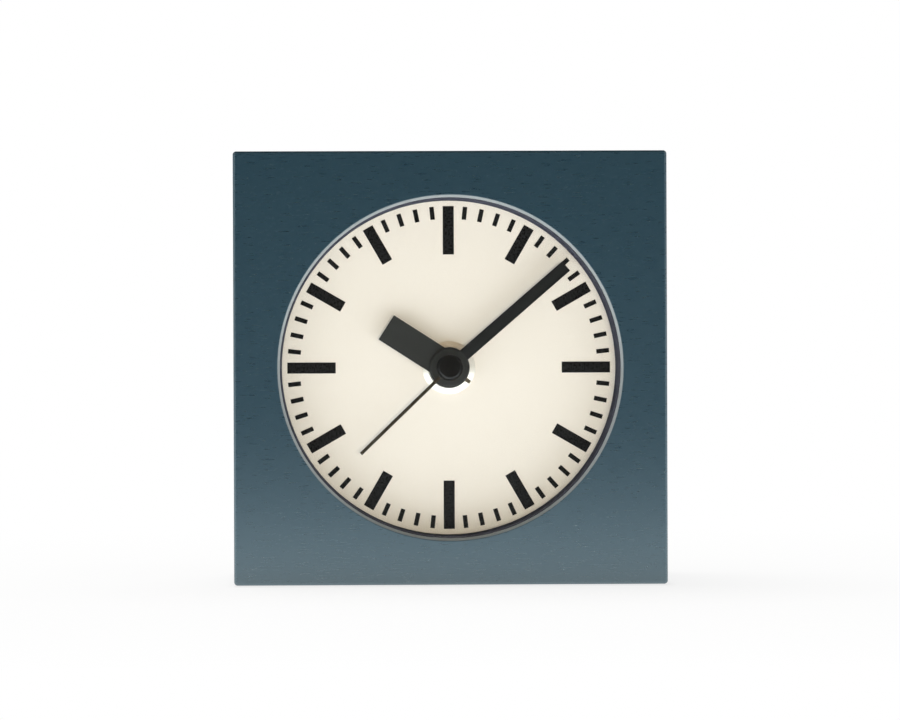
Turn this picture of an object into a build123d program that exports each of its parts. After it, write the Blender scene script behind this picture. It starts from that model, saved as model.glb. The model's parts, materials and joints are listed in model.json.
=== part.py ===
"""Square table alarm clock with a quartz movement: case, dial, hands, gear train and back cover.

Millimetres. X points right as seen from the front, the dial faces -Y and Z points up.
The origin lies on the table, under the middle of the case. Depths count from the front face to the back,
bearings count clockwise from twelve o'clock as seen from the front.
"""

import math
import os
from build123d import *

# Case
case_width = 100.0
case_height = 100.0
case_depth = 45.0
case_wall = 3.0
front_wall = 4.0
case_corner_radius = 0.8
case_edge = 0.4
cavity_corner_radius = 2.0
post_size = 7.0
foot_proud = 0.2
foot_radius = 4.5
foot_recess = 1.2
foot_inset = 9.0

# Fits
press_clearance = 0.02
running_clearance = 0.05
seat_clearance = 0.1
loose_clearance = 0.3

# Window, glass and dial
face_margin = 10.11
bezel_face = 0.54
bezel_height = 1.2
glass_thickness = 1.5
glass_edge = 0.15
glass_ledge = 0.93
dial_depth = 11.0
dial_lap = 2.9
dial_thickness = 1.0
mark_height = 0.08
minutes_in_turn = 60
minutes_in_hour_mark = 5
minutes_in_quarter = 15
mark_inset = 1.26
minute_mark_length = 3.0
minute_mark_width = 1.05
hour_mark_length = 9.22
quarter_mark_length = 11.3
hour_mark_width = 2.58

# Hands
second_bearing = 226.05
minute_bearing = 49.1
hour_bearing = 302.75
alarm_bearing = 305.4
second_tip_gap = 9.0
second_width = 0.77
second_cap_radius = 3.05
second_cap_height = 1.4
second_cap_edge = 0.6
second_cap_bore = 0.7
minute_tip_gap = 1.8
minute_width = 2.83
minute_hub_radius = 4.7
minute_hub_edge = 0.4
hour_tip_gap = 20.3
hour_width = 6.7
hour_hub_radius = 4.6
alarm_tip_gap = 3.6
alarm_width = 0.9
alarm_tail = 6.0
alarm_hub_radius = 3.4
hand_thickness = 0.5
second_thickness = 0.3
collar_wall = 0.7
collar_height = 0.6
second_hand_depth = 4.7
minute_hand_depth = 6.0
hour_hand_depth = 7.4
alarm_hand_depth = 8.7
tube_proud = 0.1

# Arbor, tubes and bush, one inside the other
arbor_radius = 0.5
minute_tube_wall = 0.45
hour_tube_wall = 0.6
alarm_tube_wall = 0.6
bush_wall = 1.65
nut_radius = 6.15
nut_height = 1.4
nut_bevel_width = 1.3
nut_bevel_height = 0.5

# Gear teeth: shares of the tooth pitch, and heights in modules
tooth_tip_share = 0.12
tooth_flank_share = 0.4
tooth_addendum = 0.85
tooth_dedendum = 1.15
cannon_teeth = 12
minute_wheel_teeth = 36
minute_pinion_teeth = 10
hour_wheel_teeth = 40
alarm_pinion_teeth = 12
alarm_wheel_teeth = 36
centre_wheel_teeth = 48
third_pinion_teeth = 6
third_wheel_teeth = 45
second_pinion_teeth = 6
second_wheel_teeth = 30
intermediate_pinion_teeth = 6
intermediate_wheel_teeth = 36
rotor_pinion_teeth = 6

# Arbor places about the dial axis
knob_distance = 13.5
time_knob_bearing = 250.0
alarm_knob_bearing = 110.0
third_inset = 0.5
third_bearing = 315.0
intermediate_inset = 0.3
intermediate_bearing = 45.0
rotor_distance = 10.5
rotor_bearing = 90.0
knob_arbor_radius = 1.1

# Gear levels
wheel_thickness = 1.0
train_thickness = 0.8
level_gap = 0.5
clutch_gap = 0.6
clutch_width = 2.4
clutch_sheet = 0.15
collar_step = 0.35
pinion_overhang = 0.1
wheel_rim = 1.2
wheel_hub_wall = 1.2
web_recess = 0.3
wheel_hole_count = 3
wheel_hole_radius = 1.4

# Movement housing
plate_thickness = 1.5
housing_wall = 1.5
housing_corner = 3.0
housing_left = 32.0
housing_right = 32.0
housing_top = 30.0
housing_bottom = 17.5
housing_room = 1.4
pillar_inset = 4.2
pillar_radius = 2.4
pivot_depth = 1.0

# Stepping motor
magnet_radius = 2.9
magnet_height = 2.8
stator_gap = 0.5
stator_width = 16.5
stator_height = 11.0
stator_leg = 2.5
stator_thickness = 1.0
stator_lead = 0.4
stator_foot_drop = 2.75
coil_rise = 11.6
core_width = 2.4
coil_radius = 3.1
flange_size = 6.4
flange_thickness = 0.6
bobbin_wall = 0.4

# Circuit
board_width = 32.0
board_height = 14.0
board_thickness = 1.0
board_x = -8.0
board_z = 20.4
crystal_radius = 1.05
crystal_length = 6.0
crystal_x = -17.0
crystal_z = 22.0
chip_radius = 3.4
chip_height = 1.1
chip_edge = 0.55
chip_x = -4.0

# Carrier
carrier_thickness = 2.5
carrier_boss_inset = 11.0
carrier_boss_radius = 3.5
carrier_corner_radius = 2.0

# Back cover
movement_room = 9.95
cover_thickness = 2.5
battery_diameter = 14.2
battery_length = 49.4
battery_nub_radius = 2.7
battery_nub_height = 1.1
battery_gap = 1.2
battery_edge = 0.6
bay_wall = 1.6
bay_clearance = 0.6
contact_room = 2.6
contact_thickness = 0.4
contact_width = 9.0
contact_tip_set_back = 1.3
contact_tip_rise = 2.25
door_thickness = 1.6
door_lap = 1.6
door_rib_height = 1.4
door_rib_thickness = 1.2
door_corner_radius = 1.5
door_notch_radius = 5.0
grip_ridge_count = 5
grip_ridge_pitch = 2.4
grip_ridge_width = 1.0
grip_ridge_height = 0.5
grip_ridge_length = 9.0
grip_rise = 3.1
buzzer_radius = 11.5
buzzer_height = 6.0
buzzer_rise = 24.0
buzzer_wall = 1.2
slot_count = 5
slot_pitch = 3.6
slot_width = 1.6
slot_length = 15.0

# Knobs and switch
knob_radius = 8.0
knob_height = 5.0
knob_gap = 0.4
knob_flutes = 12
knob_flute_radius = 1.3
knob_flute_depth = 0.65
knob_edge = 0.5
knob_cap = 1.0
switch_inset = 17.0
switch_rise = 24.0
switch_travel = 4.0
switch_stem_width = 3.0
switch_stem_height = 5.0
switch_pad_width = 8.0
switch_pad_height = 8.0
switch_pad_thickness = 2.4
switch_groove_count = 3
switch_groove_pitch = 1.8
switch_groove_width = 0.8
switch_groove_depth = 0.6
switch_snap = 1.0
switch_snap_thickness = 0.8

# Screws: head radius, head height, shank radius, shank length
cover_screw = (2.6, 1.6, 1.3, 10.0)
carrier_screw = (2.5, 1.6, 1.2, 7.0)
movement_screw = (1.9, 1.2, 0.9, 7.0)
driver_slot_width = 0.6
driver_slot_depth = 0.7

# Depths, widths and radii that follow
dial_axis_height = foot_proud + case_height / 2
cavity_width = case_width - 2 * case_wall
cavity_height = case_height - 2 * case_wall
housing_width = housing_left + housing_right
housing_height = housing_top + housing_bottom
housing_middle = ((housing_right - housing_left) / 2, (housing_top - housing_bottom) / 2)
bezel_radius = min(case_width, case_height) / 2 - face_margin
window_radius = bezel_radius - glass_ledge
dial_radius = window_radius + dial_lap
mark_outer_radius = window_radius - mark_inset
minute_length = mark_outer_radius - minute_tip_gap
second_length = mark_outer_radius - second_tip_gap
hour_length = mark_outer_radius - hour_tip_gap
alarm_length = hour_length - alarm_tip_gap
glass_back = bezel_height + glass_thickness
dial_back = dial_depth + dial_thickness
carrier_back = dial_back + carrier_thickness

minute_tube_bore = arbor_radius + running_clearance
minute_tube_radius = minute_tube_bore + minute_tube_wall
hour_tube_bore = minute_tube_radius + running_clearance
hour_tube_radius = hour_tube_bore + hour_tube_wall
alarm_tube_bore = hour_tube_radius + running_clearance
alarm_tube_radius = alarm_tube_bore + alarm_tube_wall
bush_bore = alarm_tube_radius + running_clearance
bush_radius = bush_bore + bush_wall
nut_front = dial_depth - nut_height

plate_back = dial_back + plate_thickness
alarm_front = plate_back + level_gap
alarm_back = alarm_front + wheel_thickness
hour_front = alarm_back + level_gap
hour_back = hour_front + wheel_thickness
cannon_front = hour_back + level_gap
cannon_back = cannon_front + wheel_thickness
centre_front = cannon_back + clutch_gap
centre_back = centre_front + train_thickness
third_front = centre_back + collar_step + level_gap
third_back = third_front + train_thickness
second_front = third_back + level_gap
second_back = second_front + train_thickness
intermediate_front = second_back + level_gap
intermediate_back = intermediate_front + train_thickness
cover_inside = intermediate_back + housing_room
housing_back = cover_inside + plate_thickness
pivot_front = plate_back - pivot_depth
pivot_back = cover_inside + pivot_depth
stator_front = third_front - stator_lead
stator_back = stator_front + stator_thickness
core_front = stator_front - stator_thickness
core_middle = (core_front + stator_front) / 2
board_front = cover_inside - board_thickness

cover_front = housing_back + movement_room
cover_back = cover_front + cover_thickness
knob_front = cover_back + knob_gap
knob_back = knob_front + knob_height
switch_x = cavity_width / 2 - switch_inset


def at_bearing(bearing, distance, start=(0.0, 0.0)):
    """Point (x, z) at a bearing and distance from a start point, seen from the front."""
    angle = math.radians(bearing)
    return (start[0] + distance * math.sin(angle), start[1] + distance * math.cos(angle))


def dial_plane(depth):
    """Plane parallel to the dial, centred on its axis, with its normal to the front."""
    return Plane((0, depth - case_depth / 2, dial_axis_height), x_dir=(1, 0, 0), z_dir=(0, -1, 0))


def turning_plane(place=(0.0, 0.0)):
    """Plane for turned profiles: x is the radius and y the depth."""
    return Plane((place[0], -case_depth / 2, dial_axis_height + place[1]), x_dir=(1, 0, 0), z_dir=(0, 0, 1))


def turning_axis(place=(0.0, 0.0)):
    """Axis along the depth through a place on the dial plane."""
    return Axis((place[0], 0, dial_axis_height + place[1]), (0, 1, 0))


def rod(radius, front, back, place=(0.0, 0.0), bore=0.0):
    """Round bar or tube along the depth."""
    with BuildPart() as bar:
        with BuildSketch(dial_plane(back)):
            with Locations(place):
                Circle(radius)
                if bore:
                    Circle(bore, mode=Mode.SUBTRACT)
        extrude(amount=back - front)
    return bar.part


def block(x_low, x_high, z_low, z_high, front, back):
    """Square-edged block between two depths, with x and z counted from the dial axis."""
    with BuildPart() as solid:
        with BuildSketch(dial_plane(back)):
            with Locations(((x_low + x_high) / 2, (z_low + z_high) / 2)):
                Rectangle(x_high - x_low, z_high - z_low)
        extrude(amount=back - front)
    return solid.part


def root_radius(teeth, module):
    """Radius of the bottoms of a gear's tooth gaps."""
    return module * (teeth / 2 - tooth_dedendum)


def gear(teeth, module, tooth_bearing, front, back, place=(0.0, 0.0)):
    """Spur gear with radial flanks and tapered tips, one tooth centred on a bearing."""
    tip = module * (teeth / 2 + tooth_addendum)
    pitch = module * teeth / 2
    root = root_radius(teeth, module)
    corners = []
    for tooth in range(teeth):
        for share, radius in (
            (tooth_flank_share, root),
            (tooth_flank_share, pitch),
            (tooth_tip_share, tip),
            (-tooth_tip_share, tip),
            (-tooth_flank_share, pitch),
            (-tooth_flank_share, root),
        ):
            corners.append(at_bearing(tooth_bearing + (share / 2 - tooth) * 360 / teeth, radius))
    with BuildPart() as toothed:
        with BuildSketch(dial_plane(back)):
            with Locations(place):
                Polygon(*corners, align=None)
        extrude(amount=back - front)
    return toothed.part


def wheel(teeth, module, tooth_bearing, front, back, bore, place=(0.0, 0.0)):
    """Moulded gear wheel: toothed rim, thinner web with round holes, and a hub round a bore or arbor."""
    web_outer = root_radius(teeth, module) - wheel_rim
    web_inner = bore + wheel_hub_wall
    with BuildPart() as moulded:
        add(gear(teeth, module, tooth_bearing, front, back, place))
        add(rod(web_outer, back - web_recess, back, place, web_inner), mode=Mode.SUBTRACT)
        with BuildSketch(dial_plane(back)):
            with Locations(place):
                with PolarLocations((web_outer + web_inner) / 2, wheel_hole_count):
                    Circle(wheel_hole_radius)
        extrude(amount=back - front, mode=Mode.SUBTRACT)
    return moulded.part


def meshing(bearing, teeth):
    """Tooth bearing of a gear that meets, from the far side, a tooth pointing along a bearing."""
    return bearing + 180 + 180 / teeth


def module_for(distance, teeth, other_teeth):
    """Module that puts two gears at a centre distance."""
    return 2 * distance / (teeth + other_teeth)


def hand_bar(bearing, start, end, width, front, back):
    """Flat bar of a hand, from one radius to another along a bearing."""
    with BuildPart() as bar:
        with BuildSketch(dial_plane(back)):
            with Locations(Location((0, 0, 0), (0, 0, -bearing))):
                with Locations((0, (start + end) / 2)):
                    Rectangle(width, end - start)
        extrude(amount=back - front)
    return bar.part


def screws(places, seat, screw):
    """Slotted pan-head screws driven from the back, with their heads on a seat depth."""
    head_radius, head_height, shank_radius, shank_length = screw
    with BuildPart() as group:
        for place in places:
            add(rod(head_radius, seat, seat + head_height, place))
            add(rod(shank_radius, seat - shank_length, seat, place))
            add(
                block(
                    place[0] - head_radius,
                    place[0] + head_radius,
                    place[1] - driver_slot_width / 2,
                    place[1] + driver_slot_width / 2,
                    seat + head_height - driver_slot_depth,
                    seat + head_height,
                ),
                mode=Mode.SUBTRACT,
            )
    return group.part


def four_corners(half_width, half_height):
    """The four points about the dial axis at a half width and half height."""
    return [(x * half_width, z * half_height) for x in (-1, 1) for z in (-1, 1)]


# Places of the arbors and fasteners
time_knob_place = at_bearing(time_knob_bearing, knob_distance)
alarm_knob_place = at_bearing(alarm_knob_bearing, knob_distance)
third_distance = knob_distance - third_inset
third_place = at_bearing(third_bearing, third_distance)
intermediate_distance = knob_distance - intermediate_inset
intermediate_place = at_bearing(intermediate_bearing, intermediate_distance)
rotor_place = at_bearing(rotor_bearing, rotor_distance, intermediate_place)
cover_screw_places = four_corners((cavity_width - post_size) / 2, (cavity_height - post_size) / 2)
carrier_screw_places = four_corners(
    (housing_width / 2 + cavity_width / 2) / 2, cavity_height / 2 - carrier_boss_inset
)
pillar_places = [
    (x, z)
    for x in (pillar_inset - housing_left, housing_right - pillar_inset)
    for z in (pillar_inset - housing_bottom, housing_top - pillar_inset)
]
train_places = (third_place, intermediate_place, rotor_place)
knob_places = (time_knob_place, alarm_knob_place)

# Gear modules
cannon_module = module_for(knob_distance, cannon_teeth, minute_wheel_teeth)
hour_module = module_for(knob_distance, minute_pinion_teeth, hour_wheel_teeth)
alarm_module = module_for(knob_distance, alarm_pinion_teeth, alarm_wheel_teeth)
centre_module = module_for(third_distance, third_pinion_teeth, centre_wheel_teeth)
third_module = module_for(third_distance, second_pinion_teeth, third_wheel_teeth)
second_module = module_for(intermediate_distance, intermediate_pinion_teeth, second_wheel_teeth)
rotor_module = module_for(rotor_distance, rotor_pinion_teeth, intermediate_wheel_teeth)

# Case: a brushed metal box with a round window, corner posts for the cover and bosses for the carrier
with BuildPart() as case_shell:
    with BuildSketch(dial_plane(case_depth)):
        RectangleRounded(case_width, case_height, case_corner_radius)
    extrude(amount=case_depth)
    chamfer(case_shell.faces().filter_by(Axis.Y).edges(), case_edge)
    with BuildSketch(dial_plane(cover_front)):
        RectangleRounded(cavity_width, cavity_height, cavity_corner_radius)
        with Locations(*cover_screw_places):
            Rectangle(post_size, post_size, mode=Mode.SUBTRACT)
    extrude(amount=cover_front - front_wall, mode=Mode.SUBTRACT)
    with BuildSketch(dial_plane(case_depth)):
        RectangleRounded(cavity_width, cavity_height, cavity_corner_radius)
    extrude(amount=case_depth - cover_front, mode=Mode.SUBTRACT)
    for place in carrier_screw_places:
        add(rod(carrier_boss_radius, front_wall, dial_back, place))
        add(
            rod(
                carrier_screw[2] + press_clearance,
                carrier_back - carrier_screw[3] - loose_clearance,
                dial_back,
                place,
            ),
            mode=Mode.SUBTRACT,
        )
    for place in cover_screw_places:
        add(
            rod(
                cover_screw[2] + press_clearance,
                cover_back - cover_screw[1] - cover_screw[3] - loose_clearance,
                cover_front,
                place,
            ),
            mode=Mode.SUBTRACT,
        )
    add(rod(window_radius, 0, front_wall), mode=Mode.SUBTRACT)
    add(rod(bezel_radius, 0, glass_back), mode=Mode.SUBTRACT)
    with BuildSketch(Plane.XY.offset(foot_proud)):
        with GridLocations(case_width - 2 * foot_inset, case_depth - 2 * foot_inset, 2, 2):
            Circle(foot_radius + seat_clearance)
    extrude(amount=foot_recess, mode=Mode.SUBTRACT)
case_shell.part.label = "case_shell"

with BuildPart() as feet:
    with BuildSketch():
        with GridLocations(case_width - 2 * foot_inset, case_depth - 2 * foot_inset, 2, 2):
            Circle(foot_radius)
    extrude(amount=foot_proud + foot_recess)
feet.part.label = "feet"

# Window: polished ring, glass, dark wall and dial
with BuildPart() as bezel_ring:
    with BuildSketch(turning_plane()):
        with BuildLine():
            Polyline(
                (bezel_radius - press_clearance, 0),
                (bezel_radius - bezel_face, bezel_face),
                (bezel_radius - bezel_face, bezel_height),
                (bezel_radius - press_clearance, bezel_height),
                close=True,
            )
        make_face()
    revolve(axis=turning_axis())
bezel_ring.part.label = "bezel_ring"

with BuildPart() as front_glass:
    add(rod(bezel_radius - seat_clearance, bezel_height, glass_back))
    chamfer(front_glass.edges().filter_by(GeomType.CIRCLE), glass_edge)
front_glass.part.label = "front_glass"

with BuildPart() as spacer_ring:
    add(rod(dial_radius, front_wall, dial_depth, bore=window_radius))
spacer_ring.part.label = "spacer_ring"

with BuildPart() as dial:
    add(rod(dial_radius, dial_depth, dial_back, bore=bush_radius + seat_clearance))
dial.part.label = "dial"

with BuildPart() as dial_marks:
    with BuildSketch(dial_plane(dial_depth)):
        for minute in range(minutes_in_turn):
            bearing = minute * 360 / minutes_in_turn
            length, width = minute_mark_length, minute_mark_width
            if minute % minutes_in_hour_mark == 0:
                length, width = hour_mark_length, hour_mark_width
            if minute % minutes_in_quarter == 0:
                length = quarter_mark_length
            middle = at_bearing(bearing, mark_outer_radius - length / 2)
            with Locations(Location((*middle, 0), (0, 0, -bearing))):
                Rectangle(width, length)
    extrude(amount=mark_height)
dial_marks.part.label = "dial_marks"

with BuildPart() as dial_nut:
    with BuildSketch(turning_plane()):
        with BuildLine():
            Polyline(
                (bush_radius + press_clearance, nut_front),
                (nut_radius - nut_bevel_width, nut_front),
                (nut_radius, nut_front + nut_bevel_height),
                (nut_radius, dial_depth),
                (bush_radius + press_clearance, dial_depth),
                close=True,
            )
        make_face()
    revolve(axis=turning_axis())
dial_nut.part.label = "dial_nut"

# Hands, from the front: second, minute, hour and alarm
with BuildPart() as second_hand:
    second_hand_back = second_hand_depth + second_thickness
    add(hand_bar(second_bearing, 0, second_length, second_width, second_hand_depth, second_hand_back))
    add(rod(second_cap_radius, second_hand_back - second_cap_height, second_hand_back))
    chamfer(second_hand.faces().sort_by(Axis.Y)[0].edges(), second_cap_edge)
    add(
        rod(arbor_radius + press_clearance, second_hand_back - second_cap_bore, second_hand_back),
        mode=Mode.SUBTRACT,
    )
second_hand.part.label = "second_hand"

with BuildPart() as minute_hand:
    minute_hand_back = minute_hand_depth + hand_thickness
    add(rod(minute_hub_radius, minute_hand_depth, minute_hand_back))
    chamfer(minute_hand.faces().sort_by(Axis.Y)[0].edges(), minute_hub_edge)
    add(hand_bar(minute_bearing, 0, minute_length, minute_width, minute_hand_depth, minute_hand_back))
    add(rod(minute_tube_radius + collar_wall, minute_hand_back, minute_hand_back + collar_height))
    add(
        rod(minute_tube_radius + press_clearance, minute_hand_depth, minute_hand_back + collar_height),
        mode=Mode.SUBTRACT,
    )
minute_hand.part.label = "minute_hand"

with BuildPart() as hour_hand:
    hour_hand_back = hour_hand_depth + hand_thickness
    add(hand_bar(hour_bearing, 0, hour_length, hour_width, hour_hand_depth, hour_hand_back))
    add(rod(hour_hub_radius, hour_hand_depth, hour_hand_back))
    add(rod(hour_tube_radius + collar_wall, hour_hand_back, hour_hand_back + collar_height))
    add(
        rod(hour_tube_radius + press_clearance, hour_hand_depth, hour_hand_back + collar_height),
        mode=Mode.SUBTRACT,
    )
hour_hand.part.label = "hour_hand"

with BuildPart() as alarm_hand:
    alarm_hand_back = alarm_hand_depth + hand_thickness
    add(
        hand_bar(
            alarm_bearing, -alarm_tail, alarm_length, alarm_width, alarm_hand_depth, alarm_hand_back
        )
    )
    add(rod(alarm_hub_radius, alarm_hand_depth, alarm_hand_back))
    add(rod(alarm_tube_radius + press_clearance, alarm_hand_depth, alarm_hand_back), mode=Mode.SUBTRACT)
alarm_hand.part.label = "alarm_hand"

# Movement housing: front plate with the bush and pillars, and a box-shaped rear cover
with BuildPart() as movement_front_plate:
    with BuildSketch(dial_plane(plate_back)):
        with Locations(housing_middle):
            RectangleRounded(housing_width, housing_height, housing_corner)
    extrude(amount=plate_thickness)
    add(rod(bush_radius, nut_front, dial_back))
    add(rod(bush_bore, nut_front, plate_back), mode=Mode.SUBTRACT)
    for place in pillar_places:
        add(rod(pillar_radius, plate_back, cover_inside, place))
        add(
            rod(
                movement_screw[2] + press_clearance,
                housing_back - movement_screw[3] - loose_clearance,
                cover_inside,
                place,
            ),
            mode=Mode.SUBTRACT,
        )
    for place in train_places:
        add(rod(arbor_radius + running_clearance, pivot_front, plate_back, place), mode=Mode.SUBTRACT)
    for place in knob_places:
        add(rod(knob_arbor_radius + running_clearance, pivot_front, plate_back, place), mode=Mode.SUBTRACT)
    for side in (-1, 1):
        foot = (rotor_place[0] + side * (stator_width - stator_leg) / 2, rotor_place[1] - stator_foot_drop)
        add(rod(stator_leg / 2, plate_back, stator_front, foot))
movement_front_plate.part.label = "movement_front_plate"

with BuildPart() as movement_rear_cover:
    with BuildSketch(dial_plane(housing_back)):
        with Locations(housing_middle):
            RectangleRounded(housing_width, housing_height, housing_corner)
    extrude(amount=housing_back - plate_back)
    with BuildSketch(dial_plane(cover_inside)):
        with Locations(housing_middle):
            RectangleRounded(
                housing_width - 2 * housing_wall,
                housing_height - 2 * housing_wall,
                housing_corner - housing_wall,
            )
    extrude(amount=cover_inside - plate_back, mode=Mode.SUBTRACT)
    for place in pillar_places:
        add(
            rod(movement_screw[2] + seat_clearance, cover_inside, housing_back, place), mode=Mode.SUBTRACT
        )
    for place in (*train_places, (0.0, 0.0)):
        add(rod(arbor_radius + running_clearance, cover_inside, pivot_back, place), mode=Mode.SUBTRACT)
    for place in knob_places:
        add(
            rod(knob_arbor_radius + running_clearance, cover_inside, housing_back, place),
            mode=Mode.SUBTRACT,
        )
movement_rear_cover.part.label = "movement_rear_cover"

with BuildPart() as movement_screws:
    add(screws(pillar_places, housing_back, movement_screw))
movement_screws.part.label = "movement_screws"

# Alarm setting: wheel on the alarm tube, pinion on the knob's arbor
with BuildPart() as alarm_wheel:
    add(
        wheel(
            alarm_wheel_teeth,
            alarm_module,
            alarm_knob_bearing,
            alarm_front,
            alarm_back,
            alarm_tube_radius,
        )
    )
    add(rod(alarm_tube_radius, alarm_hand_depth - tube_proud, alarm_back))
    add(rod(alarm_tube_bore, alarm_hand_depth - tube_proud, alarm_back), mode=Mode.SUBTRACT)
alarm_wheel.part.label = "alarm_wheel"

with BuildPart() as alarm_pinion:
    add(
        gear(
            alarm_pinion_teeth,
            alarm_module,
            meshing(alarm_knob_bearing, alarm_pinion_teeth),
            alarm_front,
            alarm_back,
            alarm_knob_place,
        )
    )
    add(rod(knob_arbor_radius, pivot_front + running_clearance, knob_back - knob_cap, alarm_knob_place))
alarm_pinion.part.label = "alarm_pinion"

# Motion work: cannon pinion, minute wheel with its pinion, and hour wheel, twelve to one
with BuildPart() as hour_wheel:
    add(wheel(hour_wheel_teeth, hour_module, time_knob_bearing, hour_front, hour_back, hour_tube_radius))
    add(rod(hour_tube_radius, hour_hand_depth - tube_proud, hour_back))
    add(rod(hour_tube_bore, hour_hand_depth - tube_proud, hour_back), mode=Mode.SUBTRACT)
hour_wheel.part.label = "hour_wheel"

with BuildPart() as minute_wheel:
    add(
        wheel(
            minute_wheel_teeth,
            cannon_module,
            meshing(time_knob_bearing, minute_wheel_teeth),
            cannon_front,
            cannon_back,
            knob_arbor_radius,
            time_knob_place,
        )
    )
    add(
        gear(
            minute_pinion_teeth,
            hour_module,
            meshing(time_knob_bearing, minute_pinion_teeth),
            hour_front,
            cannon_front,
            time_knob_place,
        )
    )
    add(rod(knob_arbor_radius, pivot_front + running_clearance, knob_back - knob_cap, time_knob_place))
minute_wheel.part.label = "minute_wheel"

with BuildPart() as cannon_pinion:
    add(gear(cannon_teeth, cannon_module, time_knob_bearing, cannon_front, cannon_back))
    add(rod(minute_tube_radius, minute_hand_depth - tube_proud, centre_back + collar_step))
    add(
        rod(
            minute_tube_radius + collar_step,
            centre_back + running_clearance,
            centre_back + collar_step,
        )
    )
    add(
        rod(minute_tube_bore, minute_hand_depth - tube_proud, centre_back + collar_step),
        mode=Mode.SUBTRACT,
    )
cannon_pinion.part.label = "cannon_pinion"

# Running train: centre wheel with its slipping clutch, third, second and intermediate wheels
with BuildPart() as clutch_washer:
    clutch_inner = minute_tube_radius + running_clearance
    clutch_outer = clutch_inner + clutch_width
    with BuildSketch(turning_plane()):
        with BuildLine():
            Polyline(
                (clutch_inner, cannon_back + running_clearance),
                (clutch_outer, centre_front - clutch_sheet),
                (clutch_outer, centre_front),
                (clutch_inner, cannon_back + running_clearance + clutch_sheet),
                close=True,
            )
        make_face()
    revolve(axis=turning_axis())
clutch_washer.part.label = "clutch_washer"

with BuildPart() as centre_wheel:
    add(
        wheel(
            centre_wheel_teeth,
            centre_module,
            third_bearing,
            centre_front,
            centre_back,
            minute_tube_radius,
        )
    )
    add(rod(minute_tube_radius + running_clearance, centre_front, centre_back), mode=Mode.SUBTRACT)
centre_wheel.part.label = "centre_wheel"

with BuildPart() as third_wheel:
    add(
        gear(
            third_pinion_teeth,
            centre_module,
            meshing(third_bearing, third_pinion_teeth),
            centre_front - pinion_overhang,
            third_front,
            third_place,
        )
    )
    add(
        wheel(
            third_wheel_teeth,
            third_module,
            meshing(third_bearing, third_wheel_teeth),
            third_front,
            third_back,
            arbor_radius,
            third_place,
        )
    )
    add(rod(arbor_radius, pivot_front + running_clearance, pivot_back - running_clearance, third_place))
third_wheel.part.label = "third_wheel"

with BuildPart() as second_wheel:
    add(
        gear(
            second_pinion_teeth,
            third_module,
            third_bearing,
            third_front - pinion_overhang,
            second_front,
        )
    )
    add(
        wheel(
            second_wheel_teeth,
            second_module,
            intermediate_bearing,
            second_front,
            second_back,
            arbor_radius,
        )
    )
    add(rod(arbor_radius, second_hand_depth - second_thickness, pivot_back - running_clearance))
second_wheel.part.label = "second_wheel"

with BuildPart() as intermediate_wheel:
    add(
        gear(
            intermediate_pinion_teeth,
            second_module,
            meshing(intermediate_bearing, intermediate_pinion_teeth),
            second_front - pinion_overhang,
            intermediate_front,
            intermediate_place,
        )
    )
    add(
        wheel(
            intermediate_wheel_teeth,
            rotor_module,
            rotor_bearing,
            intermediate_front,
            intermediate_back,
            arbor_radius,
            intermediate_place,
        )
    )
    add(
        rod(
            arbor_radius,
            pivot_front + running_clearance,
            pivot_back - running_clearance,
            intermediate_place,
        )
    )
intermediate_wheel.part.label = "intermediate_wheel"

# Stepping motor: rotor, stator and coil
stator_left = rotor_place[0] - stator_width / 2
stator_right = rotor_place[0] + stator_width / 2
core_height = rotor_place[1] + coil_rise

with BuildPart() as rotor_pinion:
    add(
        gear(
            rotor_pinion_teeth,
            rotor_module,
            meshing(rotor_bearing, rotor_pinion_teeth),
            intermediate_front - pinion_overhang,
            intermediate_back + pinion_overhang,
            rotor_place,
        )
    )
    add(rod(arbor_radius, pivot_front + running_clearance, pivot_back - running_clearance, rotor_place))
rotor_pinion.part.label = "rotor_pinion"

with BuildPart() as rotor_magnet:
    magnet_middle = (stator_front + stator_back) / 2
    add(
        rod(
            magnet_radius,
            magnet_middle - magnet_height / 2,
            magnet_middle + magnet_height / 2,
            rotor_place,
            arbor_radius + press_clearance,
        )
    )
rotor_magnet.part.label = "rotor_magnet"

with BuildPart() as stator:
    add(
        block(
            stator_left,
            stator_right,
            rotor_place[1] - stator_height / 2,
            core_height + core_width / 2,
            stator_front,
            stator_back,
        )
    )
    add(
        block(
            stator_left + stator_leg,
            stator_right - stator_leg,
            rotor_place[1] + stator_height / 2,
            core_height + core_width / 2,
            stator_front,
            stator_back,
        ),
        mode=Mode.SUBTRACT,
    )
    add(rod(magnet_radius + stator_gap, stator_front, stator_back, rotor_place), mode=Mode.SUBTRACT)
stator.part.label = "stator"

with BuildPart() as coil_core:
    add(
        block(
            stator_left,
            stator_right,
            core_height - core_width / 2,
            core_height + core_width / 2,
            core_front,
            stator_front,
        )
    )
coil_core.part.label = "coil_core"

coil_left = stator_left + stator_leg + seat_clearance
coil_right = stator_right - stator_leg - seat_clearance
core_slot = (core_width / 2 + seat_clearance, stator_thickness / 2 + seat_clearance)


def about_core(x_low, x_high, half_height, half_depth):
    """Block round the coil core between two x values."""
    return block(
        x_low,
        x_high,
        core_height - half_height,
        core_height + half_height,
        core_middle - half_depth,
        core_middle + half_depth,
    )


with BuildPart() as coil_bobbin:
    add(about_core(coil_left, coil_right, core_slot[0] + bobbin_wall, core_slot[1] + bobbin_wall))
    add(about_core(coil_left, coil_left + flange_thickness, flange_size / 2, flange_size / 2))
    add(about_core(coil_right - flange_thickness, coil_right, flange_size / 2, flange_size / 2))
    add(about_core(coil_left, coil_right, *core_slot), mode=Mode.SUBTRACT)
coil_bobbin.part.label = "coil_bobbin"

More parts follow.
